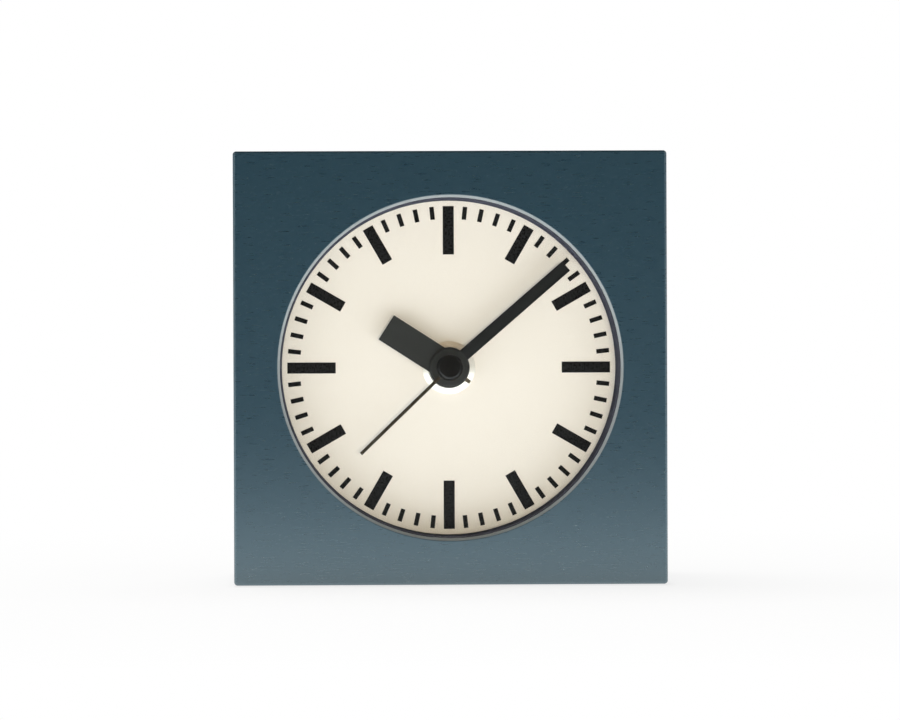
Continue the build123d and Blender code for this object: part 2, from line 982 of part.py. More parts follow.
with BuildPart() as coil_winding:
    winding_left = coil_left + flange_thickness
    winding_right = coil_right - flange_thickness
    with BuildSketch(
        Plane(
            (winding_left, core_middle - case_depth / 2, dial_axis_height + core_height),
            x_dir=(0, 1, 0),
            z_dir=(1, 0, 0),
        )
    ):
        Circle(coil_radius)
    extrude(amount=winding_right - winding_left)
    add(
        about_core(
            winding_left,
            winding_right,
            core_slot[0] + bobbin_wall + press_clearance,
            core_slot[1] + bobbin_wall + press_clearance,
        ),
        mode=Mode.SUBTRACT,
    )
coil_winding.part.label = "coil_winding"

# Circuit: board on the rear cover's inside, with the crystal and the chip on it
with BuildPart() as circuit_board:
    add(
        block(
            board_x - board_width / 2,
            board_x + board_width / 2,
            board_z - board_height / 2,
            board_z + board_height / 2,
            board_front,
            cover_inside,
        )
    )
circuit_board.part.label = "circuit_board"

with BuildPart() as quartz_crystal:
    with BuildSketch(
        Plane(
            (crystal_x, board_front - crystal_radius - case_depth / 2, dial_axis_height + crystal_z),
            x_dir=(0, 1, 0),
            z_dir=(1, 0, 0),
        )
    ):
        Circle(crystal_radius)
    extrude(amount=crystal_length / 2, both=True)
quartz_crystal.part.label = "quartz_crystal"

with BuildPart() as clock_chip:
    add(rod(chip_radius, board_front - chip_height, board_front, (chip_x, board_z)))
    chamfer(clock_chip.faces().sort_by(Axis.Y)[0].edges(), chip_edge)
clock_chip.part.label = "clock_chip"

# Carrier: moulded frame that presses the dial and its ring to the front wall
with BuildPart() as dial_carrier:
    with BuildSketch(dial_plane(carrier_back)):
        RectangleRounded(
            cavity_width - 2 * loose_clearance, cavity_height - 2 * loose_clearance, carrier_corner_radius
        )
        with Locations(*cover_screw_places):
            Rectangle(post_size + 2 * loose_clearance, post_size + 2 * loose_clearance, mode=Mode.SUBTRACT)
        with Locations(housing_middle):
            RectangleRounded(
                housing_width + 2 * loose_clearance,
                housing_height + 2 * loose_clearance,
                housing_corner,
                mode=Mode.SUBTRACT,
            )
        with Locations(*carrier_screw_places):
            Circle(carrier_screw[2] + seat_clearance, mode=Mode.SUBTRACT)
    extrude(amount=carrier_thickness)
dial_carrier.part.label = "dial_carrier"

with BuildPart() as carrier_screws:
    add(screws(carrier_screw_places, carrier_back, carrier_screw))
carrier_screws.part.label = "carrier_screws"

# Back cover with the battery bay, the sound slots and the holes for knobs and switch
battery_radius = battery_diameter / 2
door_front = cover_back - door_thickness
bay_half_width = battery_length / 2 + contact_room
bay_half_height = battery_radius + bay_clearance
battery_z = -(housing_bottom + battery_gap + bay_wall + bay_half_height)
bay_floor = door_front - door_rib_height - 2 * battery_radius - 2 * loose_clearance
battery_depth = bay_floor + loose_clearance + battery_radius
door_half_width = bay_half_width + door_lap
door_half_height = bay_half_height + door_lap
switch_slot_width = switch_stem_width + switch_travel + 2 * loose_clearance
switch_slot_middle = (switch_x + switch_travel / 2, switch_rise)

with BuildPart() as back_cover:
    with BuildSketch(dial_plane(cover_back)):
        RectangleRounded(
            cavity_width - 2 * loose_clearance, cavity_height - 2 * loose_clearance, cavity_corner_radius
        )
    extrude(amount=cover_thickness)
    add(
        block(
            -bay_half_width - bay_wall,
            bay_half_width + bay_wall,
            battery_z - bay_half_height - bay_wall,
            battery_z + bay_half_height + bay_wall,
            bay_floor - bay_wall,
            cover_front,
        )
    )
    add(
        block(
            -bay_half_width,
            bay_half_width,
            battery_z - bay_half_height,
            battery_z + bay_half_height,
            bay_floor,
            cover_back,
        ),
        mode=Mode.SUBTRACT,
    )
    with BuildSketch(dial_plane(cover_back)):
        with Locations((0, battery_z)):
            RectangleRounded(
                2 * (door_half_width + seat_clearance),
                2 * (door_half_height + seat_clearance),
                door_corner_radius,
            )
    extrude(amount=door_thickness, mode=Mode.SUBTRACT)
    with BuildSketch(dial_plane(cover_back)):
        with Locations((0, battery_z + door_half_height)):
            Circle(door_notch_radius)
    extrude(amount=door_thickness / 2, mode=Mode.SUBTRACT)
    with BuildSketch(dial_plane(cover_back)):
        with Locations((0, buzzer_rise)):
            with GridLocations(0, slot_pitch, 1, slot_count):
                SlotOverall(slot_length, slot_width)
        with Locations(switch_slot_middle):
            Rectangle(switch_slot_width, switch_stem_height + 2 * loose_clearance)
        with Locations(*knob_places):
            Circle(knob_arbor_radius + loose_clearance)
        with Locations(*cover_screw_places):
            Circle(cover_screw[2] + seat_clearance)
    extrude(amount=cover_thickness, mode=Mode.SUBTRACT)
    for place in cover_screw_places:
        add(
            rod(cover_screw[0] + seat_clearance, cover_back - cover_screw[1], cover_back, place),
            mode=Mode.SUBTRACT,
        )
back_cover.part.label = "back_cover"

with BuildPart() as cover_screws:
    add(screws(cover_screw_places, cover_back - cover_screw[1], cover_screw))
cover_screws.part.label = "cover_screws"

with BuildPart() as battery_door:
    with BuildSketch(dial_plane(cover_back)):
        with Locations((0, battery_z)):
            RectangleRounded(2 * door_half_width, 2 * door_half_height, door_corner_radius)
    extrude(amount=door_thickness)
    rib_half_width = bay_half_width - loose_clearance
    rib_half_height = bay_half_height - loose_clearance
    with BuildSketch(dial_plane(door_front)):
        with Locations((0, battery_z)):
            Rectangle(2 * rib_half_width, 2 * rib_half_height)
            Rectangle(
                2 * (rib_half_width - door_rib_thickness),
                2 * (rib_half_height - door_rib_thickness),
                mode=Mode.SUBTRACT,
            )
    extrude(amount=door_rib_height)
    with BuildSketch(dial_plane(cover_back)):
        with Locations((0, battery_z + grip_rise)):
            with GridLocations(grip_ridge_pitch, 0, grip_ridge_count, 1):
                Rectangle(grip_ridge_width, grip_ridge_length)
    extrude(amount=-grip_ridge_height)
battery_door.part.label = "battery_door"

with BuildPart() as battery:
    battery_plane = Plane(
        (-battery_length / 2, battery_depth - case_depth / 2, dial_axis_height + battery_z),
        x_dir=(0, 1, 0),
        z_dir=(1, 0, 0),
    )
    with BuildSketch(battery_plane):
        Circle(battery_radius)
    extrude(amount=battery_length - battery_nub_height)
    chamfer(battery.edges().filter_by(GeomType.CIRCLE), battery_edge)
    with BuildSketch(battery_plane):
        Circle(battery_nub_radius)
    extrude(amount=battery_length)
battery.part.label = "battery"


def contact(side):
    """Bent leaf at one end of the battery bay: a plate on the end wall and a tongue to the cell."""
    end = bay_half_width
    middle = battery_depth - case_depth / 2
    with BuildPart() as leaf:
        with BuildSketch(Plane.XY.offset(dial_axis_height + battery_z - contact_width / 2)):
            with BuildLine():
                Polyline(
                    (side * (end - contact_thickness / 2), middle + contact_width / 2),
                    (side * (end - contact_thickness / 2), middle - contact_width / 2),
                    (side * (end - contact_room + contact_thickness), middle),
                    (side * (end - contact_tip_set_back), middle + contact_tip_rise),
                )
            trace(line_width=contact_thickness)
        extrude(amount=contact_width)
    return leaf.part


with BuildPart() as contact_positive:
    add(contact(1))
contact_positive.part.label = "contact_positive"

with BuildPart() as contact_negative:
    add(contact(-1))
contact_negative.part.label = "contact_negative"

with BuildPart() as buzzer:
    buzzer_front = cover_front - buzzer_height
    add(rod(buzzer_radius, buzzer_front, cover_front, (0, buzzer_rise)))
    add(
        rod(buzzer_radius - buzzer_wall, cover_front - buzzer_wall, cover_front, (0, buzzer_rise)),
        mode=Mode.SUBTRACT,
    )
buzzer.part.label = "buzzer"


# Knobs and alarm switch
def knob(place):
    """Fluted knob with a blind bore for its arbor."""
    with BuildPart() as grip:
        add(rod(knob_radius, knob_front, knob_back, place))
        chamfer(grip.edges().filter_by(GeomType.CIRCLE).sort_by(Axis.Y)[-1], knob_edge)
        with BuildSketch(dial_plane(knob_back)):
            with Locations(place):
                with PolarLocations(knob_radius + knob_flute_radius - knob_flute_depth, knob_flutes):
                    Circle(knob_flute_radius)
        extrude(amount=knob_height, mode=Mode.SUBTRACT)
        add(
            rod(knob_arbor_radius + press_clearance, knob_front, knob_back - knob_cap, place),
            mode=Mode.SUBTRACT,
        )
    return grip.part


with BuildPart() as time_set_knob:
    add(knob(time_knob_place))
time_set_knob.part.label = "time_set_knob"

with BuildPart() as alarm_set_knob:
    add(knob(alarm_knob_place))
alarm_set_knob.part.label = "alarm_set_knob"

with BuildPart() as alarm_switch:
    pad_front = cover_back + seat_clearance
    pad_back = pad_front + switch_pad_thickness
    snap_back = cover_front - seat_clearance

    def switch_block(width, height, front, back):
        """Block centred on the switch."""
        return block(
            switch_x - width / 2,
            switch_x + width / 2,
            switch_rise - height / 2,
            switch_rise + height / 2,
            front,
            back,
        )

    add(switch_block(switch_pad_width, switch_pad_height, pad_front, pad_back))
    add(switch_block(switch_stem_width, switch_stem_height, snap_back - switch_snap_thickness, pad_front))
    add(
        switch_block(
            switch_stem_width,
            switch_stem_height + 2 * (loose_clearance + switch_snap),
            snap_back - switch_snap_thickness,
            snap_back,
        )
    )
    with BuildSketch(dial_plane(pad_back)):
        with Locations((switch_x, switch_rise)):
            with GridLocations(switch_groove_pitch, 0, switch_groove_count, 1):
                Rectangle(switch_groove_width, switch_pad_height)
    extrude(amount=switch_groove_depth, mode=Mode.SUBTRACT)
alarm_switch.part.label = "alarm_switch"

# One file for each piece
os.makedirs("parts", exist_ok=True)
for piece in (
    case_shell,
    feet,
    bezel_ring,
    front_glass,
    spacer_ring,
    dial,
    dial_marks,
    dial_nut,
    second_hand,
    minute_hand,
    hour_hand,
    alarm_hand,
    movement_front_plate,
    movement_rear_cover,
    movement_screws,
    alarm_wheel,
    alarm_pinion,
    hour_wheel,
    minute_wheel,
    cannon_pinion,
    clutch_washer,
    centre_wheel,
    third_wheel,
    second_wheel,
    intermediate_wheel,
    rotor_pinion,
    rotor_magnet,
    stator,
    coil_core,
    coil_bobbin,
    coil_winding,
    circuit_board,
    quartz_crystal,
    clock_chip,
    dial_carrier,
    carrier_screws,
    back_cover,
    cover_screws,
    battery_door,
    battery,
    contact_positive,
    contact_negative,
    buzzer,
    time_set_knob,
    alarm_set_knob,
    alarm_switch,
):
    export_step(piece.part, f"parts/{piece.part.label}.step")
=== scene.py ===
import json
import math

import bmesh
import bpy
from mathutils import Euler, Matrix, Vector


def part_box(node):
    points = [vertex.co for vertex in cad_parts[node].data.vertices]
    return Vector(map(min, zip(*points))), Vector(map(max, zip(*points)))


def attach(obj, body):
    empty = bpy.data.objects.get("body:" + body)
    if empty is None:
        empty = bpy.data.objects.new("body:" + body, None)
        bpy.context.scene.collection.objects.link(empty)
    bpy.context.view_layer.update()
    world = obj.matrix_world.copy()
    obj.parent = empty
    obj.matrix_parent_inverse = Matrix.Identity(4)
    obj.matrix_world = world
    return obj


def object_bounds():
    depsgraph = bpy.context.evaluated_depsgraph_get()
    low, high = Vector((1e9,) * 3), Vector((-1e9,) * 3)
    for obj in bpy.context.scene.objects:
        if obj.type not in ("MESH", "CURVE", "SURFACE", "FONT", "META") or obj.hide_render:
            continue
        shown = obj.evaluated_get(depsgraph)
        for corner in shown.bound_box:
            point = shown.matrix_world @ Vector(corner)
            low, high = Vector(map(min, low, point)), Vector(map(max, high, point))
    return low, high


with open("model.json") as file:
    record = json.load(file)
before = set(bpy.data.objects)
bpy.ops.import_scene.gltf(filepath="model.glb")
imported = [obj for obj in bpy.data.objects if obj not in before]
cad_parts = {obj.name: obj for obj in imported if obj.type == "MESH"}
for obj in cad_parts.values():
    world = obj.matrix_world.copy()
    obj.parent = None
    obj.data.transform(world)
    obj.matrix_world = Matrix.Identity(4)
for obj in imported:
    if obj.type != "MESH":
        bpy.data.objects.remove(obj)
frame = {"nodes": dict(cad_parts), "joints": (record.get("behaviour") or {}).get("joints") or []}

bl_info = {
    "name": "Square table alarm clock",
    "version": (1, 0, 0),
    "blender": (4, 5, 0),
    "location": "3D View > Sidebar > Clock",
    "description": "Finishes, signs, light and camera of a square table alarm clock",
    "category": "Object",
}

CAD_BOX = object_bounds()
IMAGE_WIDTH = 900
IMAGE_HEIGHT = 720
MM = 0.001
WHITE = (1.0, 1.0, 1.0)
QUARTER_TURN = math.radians(90)
ACROSS_DEPTH = (1.0, 0.0, 1.0)

# Floor, in metres from the clock's face and middle
FLOOR_FRONT = 0.19
FLOOR_BACK = 1.6
FLOOR_SIDE = 1.5

# Share of plain white on the floor: beside the clock, and at shares of the shadow's reach from it
SHADOW_REACH = 0.2
NEAR_WHITE = 0.75
FAR_WHITE = ((0.01, 0.86), (0.3, 0.94))

# Walls of cards round the clock, which only mirrors show
STUDIO_SIDE = 0.7
STUDIO_FRONT = -1.1
STUDIO_MIDDLE = -0.2
STUDIO_BACK = 0.4
STUDIO_LOW = -0.2
STUDIO_TOP = 0.9
STUDIO_WARM = -0.6

# Lamps: places and sizes in metres; the table's lamp lies in front of the clock's face
TABLE_LAMP_X = -0.1
TABLE_LAMP_AHEAD = 0.0985
TABLE_LAMP_LIFT = 0.0004
TABLE_LAMP_SIZE = (0.7, 0.173)
FRONT_LAMP = (0.05, STUDIO_FRONT - 0.2, 0.04)
FRONT_LAMP_SIZE = (0.32, 0.18)
OVERHEAD_LAMP = (-0.2, 0.36, STUDIO_TOP)
OVERHEAD_TARGET = (0.0, 0.1, 0.0)
OVERHEAD_SIZE = (0.9, 0.7)

# Back cover: where its screws stand from the dial's axis, and the plane that is printed on
SCREW_HEAD_RADIUS = 2.6 * MM
SCREW_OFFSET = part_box("cover_screws")[1].x - SCREW_HEAD_RADIUS
BACK_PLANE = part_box("back_cover")[1].y

# Dial's axis, and the round middles of the minute and second hands on it
DIAL_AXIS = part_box("dial_nut")[0].lerp(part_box("dial_nut")[1], 0.5)
MINUTE_HUB_RADIUS = 4.6 * MM
CAP_RADIUS = 3.2 * MM

# Case metal, with its dull bore round the glass, and the glass
BRUSH_LENGTH = 4.0 * MM
BRUSH_WIDTH = 0.3 * MM
CASE_IOR = 2.95
CASE_SPECULAR = 0.5
BORE_ROUGHNESS = 0.8
GLASS_COLOUR = (0.97, 0.985, 0.98)
GLASS_IOR = 1.5

# Coil wire, lines of the board in millimetres, and the battery's rim, band and nub
WIRE_WIDTH = 0.14 * MM
BOARD_LINE = 0.35
BOARD_CELL = (4.5, 1.8)
BATTERY_CRIMP = 0.8 * MM
BATTERY_BAND = 9.0 * MM
BATTERY_NUB = 2.2 * MM

# Print on the back: height of capitals in the font, steps of arcs, and pictures as shares of their height
CAPITAL_SHARE = 0.73
ARC_STEPS = 28
RING_STEPS = 40
WELD_DISTANCE = 0.001 * MM
PICTURE_LINE = 0.1
PICTURE_HOUR_HAND = 0.2
PICTURE_MINUTE_HAND = 0.3
BELL_SIDE = (
    (0.0, 0.50), (0.07, 0.47), (0.08, 0.40), (0.22, 0.31), (0.30, 0.12), (0.32, -0.14), (0.43, -0.28)
)
CLAPPER_TOP = -0.34
CLAPPER_RADIUS = 0.12
CLAPPER_STEPS = 12


def colour_property(name, description, default):
    """Colour that a user would change."""
    return bpy.props.FloatVectorProperty(
        name=name, description=description, subtype="COLOR", size=3, min=0.0, max=1.0, default=default
    )


def length_property(name, description, default):
    """Length in metres that a user would change."""
    return bpy.props.FloatProperty(name=name, description=description, unit="LENGTH", default=default)


def share_property(name, description, default):
    """Share from nought to one that a user would change."""
    return bpy.props.FloatProperty(
        name=name, description=description, subtype="FACTOR", min=0.0, max=1.0, default=default
    )


def angle_property(name, description, degrees):
    """Angle that a user would change."""
    return bpy.props.FloatProperty(
        name=name, description=description, subtype="ANGLE", default=math.radians(degrees)
    )


def power_property(name, description, default):
    """Power of a lamp in watts."""
    return bpy.props.FloatProperty(name=name, description=description, unit="POWER", default=default)


def pixel_property(name, description, default):
    """Place or width in the picture, in pixels."""
    return bpy.props.FloatProperty(name=name, description=description, default=default)


class ClockFinish(bpy.types.PropertyGroup):
    """Colours and gloss of the clock's pieces."""

    case_colour: colour_property("Case", "Dyed anodised metal of the case", (0.0078, 0.0360, 0.0590))
    case_sheen: colour_property("Case sheen", "Tint of the light that the case mirrors", (0.74, 0.92, 1.0))
    case_gloss: share_property("Case roughness", "How dull the brushed case is", 0.29)
    ring_colour: colour_property("Ring", "Polished ring round the glass", (0.46, 0.50, 0.51))
    # The wall's dark colour is partly its own and partly painted shade of the recess; the case's bore is
    # painted with it too.
    dark_wall_and_painted_shade: colour_property("Wall", "Dark wall between the glass and the dial", (0.068, 0.071, 0.094))
    dial_colour: colour_property("Dial", "Cream lacquer of the dial", (0.835, 0.775, 0.705))
    ink_colour: colour_property("Dial bars", "Black print of the dial", (0.0105, 0.0105, 0.0110))
    # The hour hand's black is lighter than the minute hand's, a painted sheen; the minute hand's hub takes
    # it too.
    black_with_painted_sheen: colour_property("Hour hand", "Satin black of the hour hand", (0.0205, 0.0212, 0.0192))
    minute_colour: colour_property("Minute hand", "Satin black of the minute hand", (0.0040, 0.0041, 0.0036))
    second_colour: colour_property("Second hand", "Brown black of the second hand", (0.034, 0.026, 0.016))
    cap_colour: colour_property("Cap", "Black lacquer of the second hand's cap", (0.0070, 0.0066, 0.0058))
    bronze_colour: colour_property("Alarm hand", "Bronzed metal of the alarm hand", (0.52, 0.42, 0.29))
    nut_colour: colour_property("Dial nut", "Plated nut under the hands", (0.93, 0.87, 0.76))
    moulding_colour: colour_property("Mouldings", "Dark plastic of the back", (0.020, 0.022, 0.025))
    print_colour: colour_property("Back print", "Pale print of the signs on the back", (0.55, 0.56, 0.56))
    gear_colour: colour_property("Gears", "Natural white plastic of the gears", (0.78, 0.76, 0.70))
    housing_colour: colour_property("Movement", "Grey plastic of the movement's housing", (0.33, 0.34, 0.34))
    steel_colour: colour_property("Steel", "Bright steel of screws and springs", (0.56, 0.57, 0.58))
    brass_colour: colour_property("Brass", "Turned brass of the cannon pinion", (0.72, 0.50, 0.20))
    copper_colour: colour_property("Copper", "Lacquered wire of the coil", (0.55, 0.20, 0.07))
    board_colour: colour_property("Board", "Solder mask of the circuit board", (0.012, 0.085, 0.040))
    trace_colour: colour_property("Board lines", "Copper lines under the solder mask", (0.030, 0.170, 0.070))
    jacket_colour: colour_property("Battery", "Foil jacket of the battery", (0.030, 0.036, 0.050))
    band_colour: colour_property("Battery band", "Pale band of the battery's jacket", (0.50, 0.51, 0.53))
    magnet_colour: colour_property("Magnet", "Sintered magnet of the rotor", (0.050, 0.045, 0.045))
    resin_colour: colour_property("Resin", "Black resin over the chip", (0.008, 0.008, 0.009))
    rubber_colour: colour_property("Feet", "Rubber of the feet", (0.030, 0.030, 0.030))


class ClockSigns(bpy.types.PropertyGroup):
    """Sizes of the print on the back cover."""

    print_thickness: length_property("Print", "Thickness of the printed ink", 0.04 * MM)
    letter_height: length_property("Letters", "Height of the words by the switch", 2.4 * MM)
    letter_gap: length_property("Letter gap", "From the switch's reach to its words", 1.4 * MM)
    arrow_gap: length_property("Arrow gap", "From a knob's rim to its turn arrow", 1.5 * MM)
    arrow_width: length_property("Arrow width", "Width of a turn arrow's line", 0.7 * MM)
    arrow_head: length_property("Arrow head", "Length of a turn arrow's head", 2.0 * MM)
    arrow_sweep: angle_property("Arrow sweep", "How far a turn arrow reaches round its knob", 96.0)
    picture_size: length_property("Pictures", "Height of the clock and bell pictures", 5.0 * MM)
    picture_gap: length_property("Picture gap", "From a turn arrow or the switch to its picture", 1.6 * MM)


class ClockStage(bpy.types.PropertyGroup):
    """Floor, light and camera of the picture."""

    floor_colour: colour_property("Floor", "Pale paper that the clock stands on", (0.955, 0.95, 0.945))
    fill_colour: colour_property("Fill", "Faint light from all sides", (1.0, 0.94, 0.82))
    fill_strength: share_property("Fill strength", "How bright the faint light is", 0.1)
    table_colour: colour_property("Table light", "Light thrown up by the table", (0.84, 0.92, 1.0))
    table_power: power_property("Table power", "Lamp that lies on the table in front", 0.68)
    front_colour: colour_property("Front light", "Light from behind the camera", (1.0, 0.925, 0.755))
    front_power: power_property("Front power", "Lamp behind the camera", 8.9)
    overhead_power: power_property("Overhead power", "Lamp above and behind the clock", 9.0)
    dark_tone: share_property("Dark cards", "Tone of the dark cards", 0.02)
    grey_tone: share_property("Side cards", "Tone of the cards beside the clock", 0.25)
    pale_tone: share_property("Pale cards", "Tone of the cards at the sides of the camera", 0.95)
    warm_tone: colour_property("Warm card", "Tone of the card above the camera", (0.66, 0.50, 0.33))
    camera_distance: length_property("Camera distance", "From the clock's face to the lens", 0.75)
    camera_offset: length_property("Camera offset", "Sideways from the dial's axis, to the right", -0.030)
    camera_rise: length_property("Camera rise", "Height of the lens above the table", 0.0551)
    camera_yaw: angle_property("Camera yaw", "Turn of the lens to the right", 0.8)
    camera_roll: angle_property("Camera roll", "Tilt of the lens to the right", 0.21)
    camera_dip: angle_property("Camera dip", "Turn of the lens downwards", 0.24)
    face_width_px: pixel_property("Face width", "Width of the clock's face, in pixels", 434.3)
    face_x_px: pixel_property("Face place", "Pixels from the left to the middle of the face", 450.55)
    face_y_px: pixel_property("Face level", "Pixels from the top to the middle of the face", 368.25)


def rgba(colour):
    """Colour with a full alpha."""
    return (*colour, 1.0)


def even(size):
    """Grain of one size along all axes, from millimetres."""
    return (size * MM,) * 3


def add_node(tree, kind, inputs=None, **settings):
    """Node with its settings made, and its inputs set to values or linked from sockets."""
    made = tree.nodes.new(kind)
    for name, value in settings.items():
        setattr(made, name, value)
    for name, value in (inputs or {}).items():
        if isinstance(value, bpy.types.NodeSocket):
            tree.links.new(value, made.inputs[name])
        else:
            made.inputs[name].default_value = value
    return made


def add_group(tree, group, inputs):
    """Placed copy of a shader node group."""
    return add_node(tree, "ShaderNodeGroup", inputs, node_tree=group)


def maths(tree, operation, first, second=0.0, third=0.0):
    """Result of one sum on values or sockets."""
    made = add_node(tree, "ShaderNodeMath", {0: first, 1: second, 2: third}, operation=operation)
    return made.outputs["Value"]


def vectors(tree, operation, first, second=(0.0, 0.0, 0.0)):
    """Vector that one sum on vectors or sockets gives."""
    made = add_node(tree, "ShaderNodeVectorMath", {0: first, 1: second}, operation=operation)
    return made.outputs["Vector"]


def distance(tree, vector):
    """Length of a vector socket."""
    return add_node(tree, "ShaderNodeVectorMath", {0: vector}, operation="LENGTH").outputs["Value"]


def new_group(name, sockets_in, sockets_out):
    """Empty shader node group with named sockets; returns it with its input and output nodes."""
    group = bpy.data.node_groups.new(name, "ShaderNodeTree")
    for socket, kind in sockets_in.items():
        group.interface.new_socket(socket, in_out="INPUT", socket_type=kind)
    for socket, kind in sockets_out.items():
        group.interface.new_socket(socket, in_out="OUTPUT", socket_type=kind)
    return group, group.nodes.new("NodeGroupInput"), group.nodes.new("NodeGroupOutput")


def grain_group():
    """Cloudy noise whose grains have their own length along each axis, from nought to one."""
    name = "Clock grain"
    if name in bpy.data.node_groups:
        return bpy.data.node_groups[name]
    group, given, result = new_group(
        name,
        {"Place": "NodeSocketVector", "Grain": "NodeSocketVector"},
        {"Level": "NodeSocketFloat"},
    )
    scaled = vectors(group, "DIVIDE", given.outputs["Place"], given.outputs["Grain"])
    noise = add_node(
        group, "ShaderNodeTexNoise", {"Vector": scaled, "Scale": 1.0, "Detail": 3.0, "Roughness": 0.6}
    )
    spread = add_node(
        group, "ShaderNodeMapRange", {"Value": noise.outputs["Fac"], "From Min": 0.25, "From Max": 0.75}
    )
    group.links.new(spread.outputs["Result"], result.inputs["Level"])
    return group


def turning_group():
    """Rings of a lathe round one axis, or round four that stand at an offset from it, from nought to one."""
    name = "Clock turning"
    if name in bpy.data.node_groups:
        return bpy.data.node_groups[name]
    group, given, result = new_group(
        name,
        {
            "Place": "NodeSocketVector",
            "Middle": "NodeSocketVector",
            "Offset": "NodeSocketVector",
            "Pitch": "NodeSocketFloat",
        },
        {"Level": "NodeSocketFloat"},
    )
    folded = vectors(
        group, "ABSOLUTE", vectors(group, "SUBTRACT", given.outputs["Place"], given.outputs["Middle"])
    )
    from_axis = vectors(group, "SUBTRACT", folded, given.outputs["Offset"])
    across = vectors(group, "MULTIPLY", from_axis, ACROSS_DEPTH)
    turns = maths(group, "DIVIDE", distance(group, across), given.outputs["Pitch"])
    wave = maths(group, "SINE", maths(group, "MULTIPLY", turns, math.tau))
    group.links.new(maths(group, "MULTIPLY_ADD", wave, 0.5, 0.5), result.inputs["Level"])
    return group


def tint_group():
    """Colour made lighter and darker by a level, and a roughness moved the same way."""
    name = "Clock tint"
    if name in bpy.data.node_groups:
        return bpy.data.node_groups[name]
    group, given, result = new_group(
        name,
        {
            "Colour": "NodeSocketColor",
            "Roughness": "NodeSocketFloat",
            "Level": "NodeSocketFloat",
            "Amount": "NodeSocketFloat",
        },
        {"Colour": "NodeSocketColor", "Roughness": "NodeSocketFloat"},
    )
    centred = maths(group, "SUBTRACT", given.outputs["Level"], 0.5)
    share = maths(group, "MULTIPLY_ADD", centred, given.outputs["Amount"], 1.0)
    coloured = add_node(
        group, "ShaderNodeVectorMath", {0: given.outputs["Colour"], "Scale": share}, operation="SCALE"
    )
    group.links.new(coloured.outputs["Vector"], result.inputs["Colour"])
    group.links.new(maths(group, "MULTIPLY", given.outputs["Roughness"], share), result.inputs["Roughness"])
    return group


def new_material(name):
    """Material with an empty node tree, its output and its Principled shader."""
    material = bpy.data.materials.new(name)
    material.use_nodes = True
    tree = material.node_tree
    tree.nodes.clear()
    output = tree.nodes.new("ShaderNodeOutputMaterial")
    shader = tree.nodes.new("ShaderNodeBsdfPrincipled")
    tree.links.new(shader.outputs["BSDF"], output.inputs["Surface"])
    return material, tree, shader, output


def mix_shaders(tree, output, share, first, second):
    """Puts out one shader, and by a share another."""
    mixed = add_node(tree, "ShaderNodeMixShader", {0: share, 1: first, 2: second})
    tree.links.new(mixed.outputs["Shader"], output.inputs["Surface"])


def mix_colours(tree, share, first, second):
    """Colour that goes over into another by a share."""
    inputs = {"Factor": share, "A": rgba(first), "B": rgba(second)}
    return add_node(tree, "ShaderNodeMix", inputs, data_type="RGBA").outputs["Result"]


def object_place(tree):
    """Place on the clock in metres, which moves with the piece."""
    return add_node(tree, "ShaderNodeTexCoord").outputs["Object"]


def near_axis(tree, place, radius):
    """One within a radius of the dial's axis, and nought beyond it."""
    from_axis = vectors(tree, "SUBTRACT", place, DIAL_AXIS)
    across = vectors(tree, "MULTIPLY", from_axis, ACROSS_DEPTH)
    return maths(tree, "LESS_THAN", distance(tree, across), radius)


def add_relief(tree, shader, height, depth, edge=0.0):
    """Relief of a depth in millimetres under a shader, and edges that look rounded by a radius."""
    bump = add_node(tree, "ShaderNodeBump", {"Height": height, "Distance": depth * MM, "Strength": 1.0})
    if edge:
        rounded = add_node(tree, "ShaderNodeBevel", {"Radius": edge * MM}, samples=8)
        tree.links.new(rounded.outputs["Normal"], bump.inputs["Normal"])
    tree.links.new(bump.outputs["Normal"], shader.inputs["Normal"])


def finish_by(tree, shader, level, colour, roughness, amount, relief, edge=0.0):
    """Lets colour, roughness and relief of a shader follow a level."""
    tint = add_group(
        tree, tint_group(), {"Colour": colour, "Roughness": roughness, "Level": level, "Amount": amount}
    )
    tree.links.new(tint.outputs["Colour"], shader.inputs["Base Color"])
    tree.links.new(tint.outputs["Roughness"], shader.inputs["Roughness"])
    add_relief(tree, shader, level, relief, edge)


def grained(name, colour, roughness, grain, amount, relief, metallic=0.0, specular=0.5, edge=0.0):
    """Material whose colour, gloss and relief follow a fine grain."""
    material, tree, shader, _ = new_material(name)
    noise = add_group(tree, grain_group(), {"Place": object_place(tree), "Grain": grain})
    finish_by(tree, shader, noise.outputs["Level"], rgba(colour), roughness, amount, relief, edge)
    shader.inputs["Metallic"].default_value = metallic
    shader.inputs["Specular IOR Level"].default_value = specular
    return material


def turned(name, colour, roughness, offset, pitch, amount, relief):
    """Metal with the rings of a lathe, round the dial's axis or at an offset from it."""
    material, tree, shader, _ = new_material(name)
    rings = add_group(
        tree,
        turning_group(),
        {"Place": object_place(tree), "Middle": DIAL_AXIS, "Offset": offset, "Pitch": pitch * MM},
    )
    finish_by(tree, shader, rings.outputs["Level"], rgba(colour), roughness, amount, relief)
    shader.inputs["Metallic"].default_value = 1.0
    return material


def dress(material, *nodes):
    """Gives nodes of the clock a material."""
    for name in nodes:
        slots = frame["nodes"][name].material_slots
        if not slots:
            raise RuntimeError(f"{name} has no material slot")
        for slot in slots:
            slot.material = material


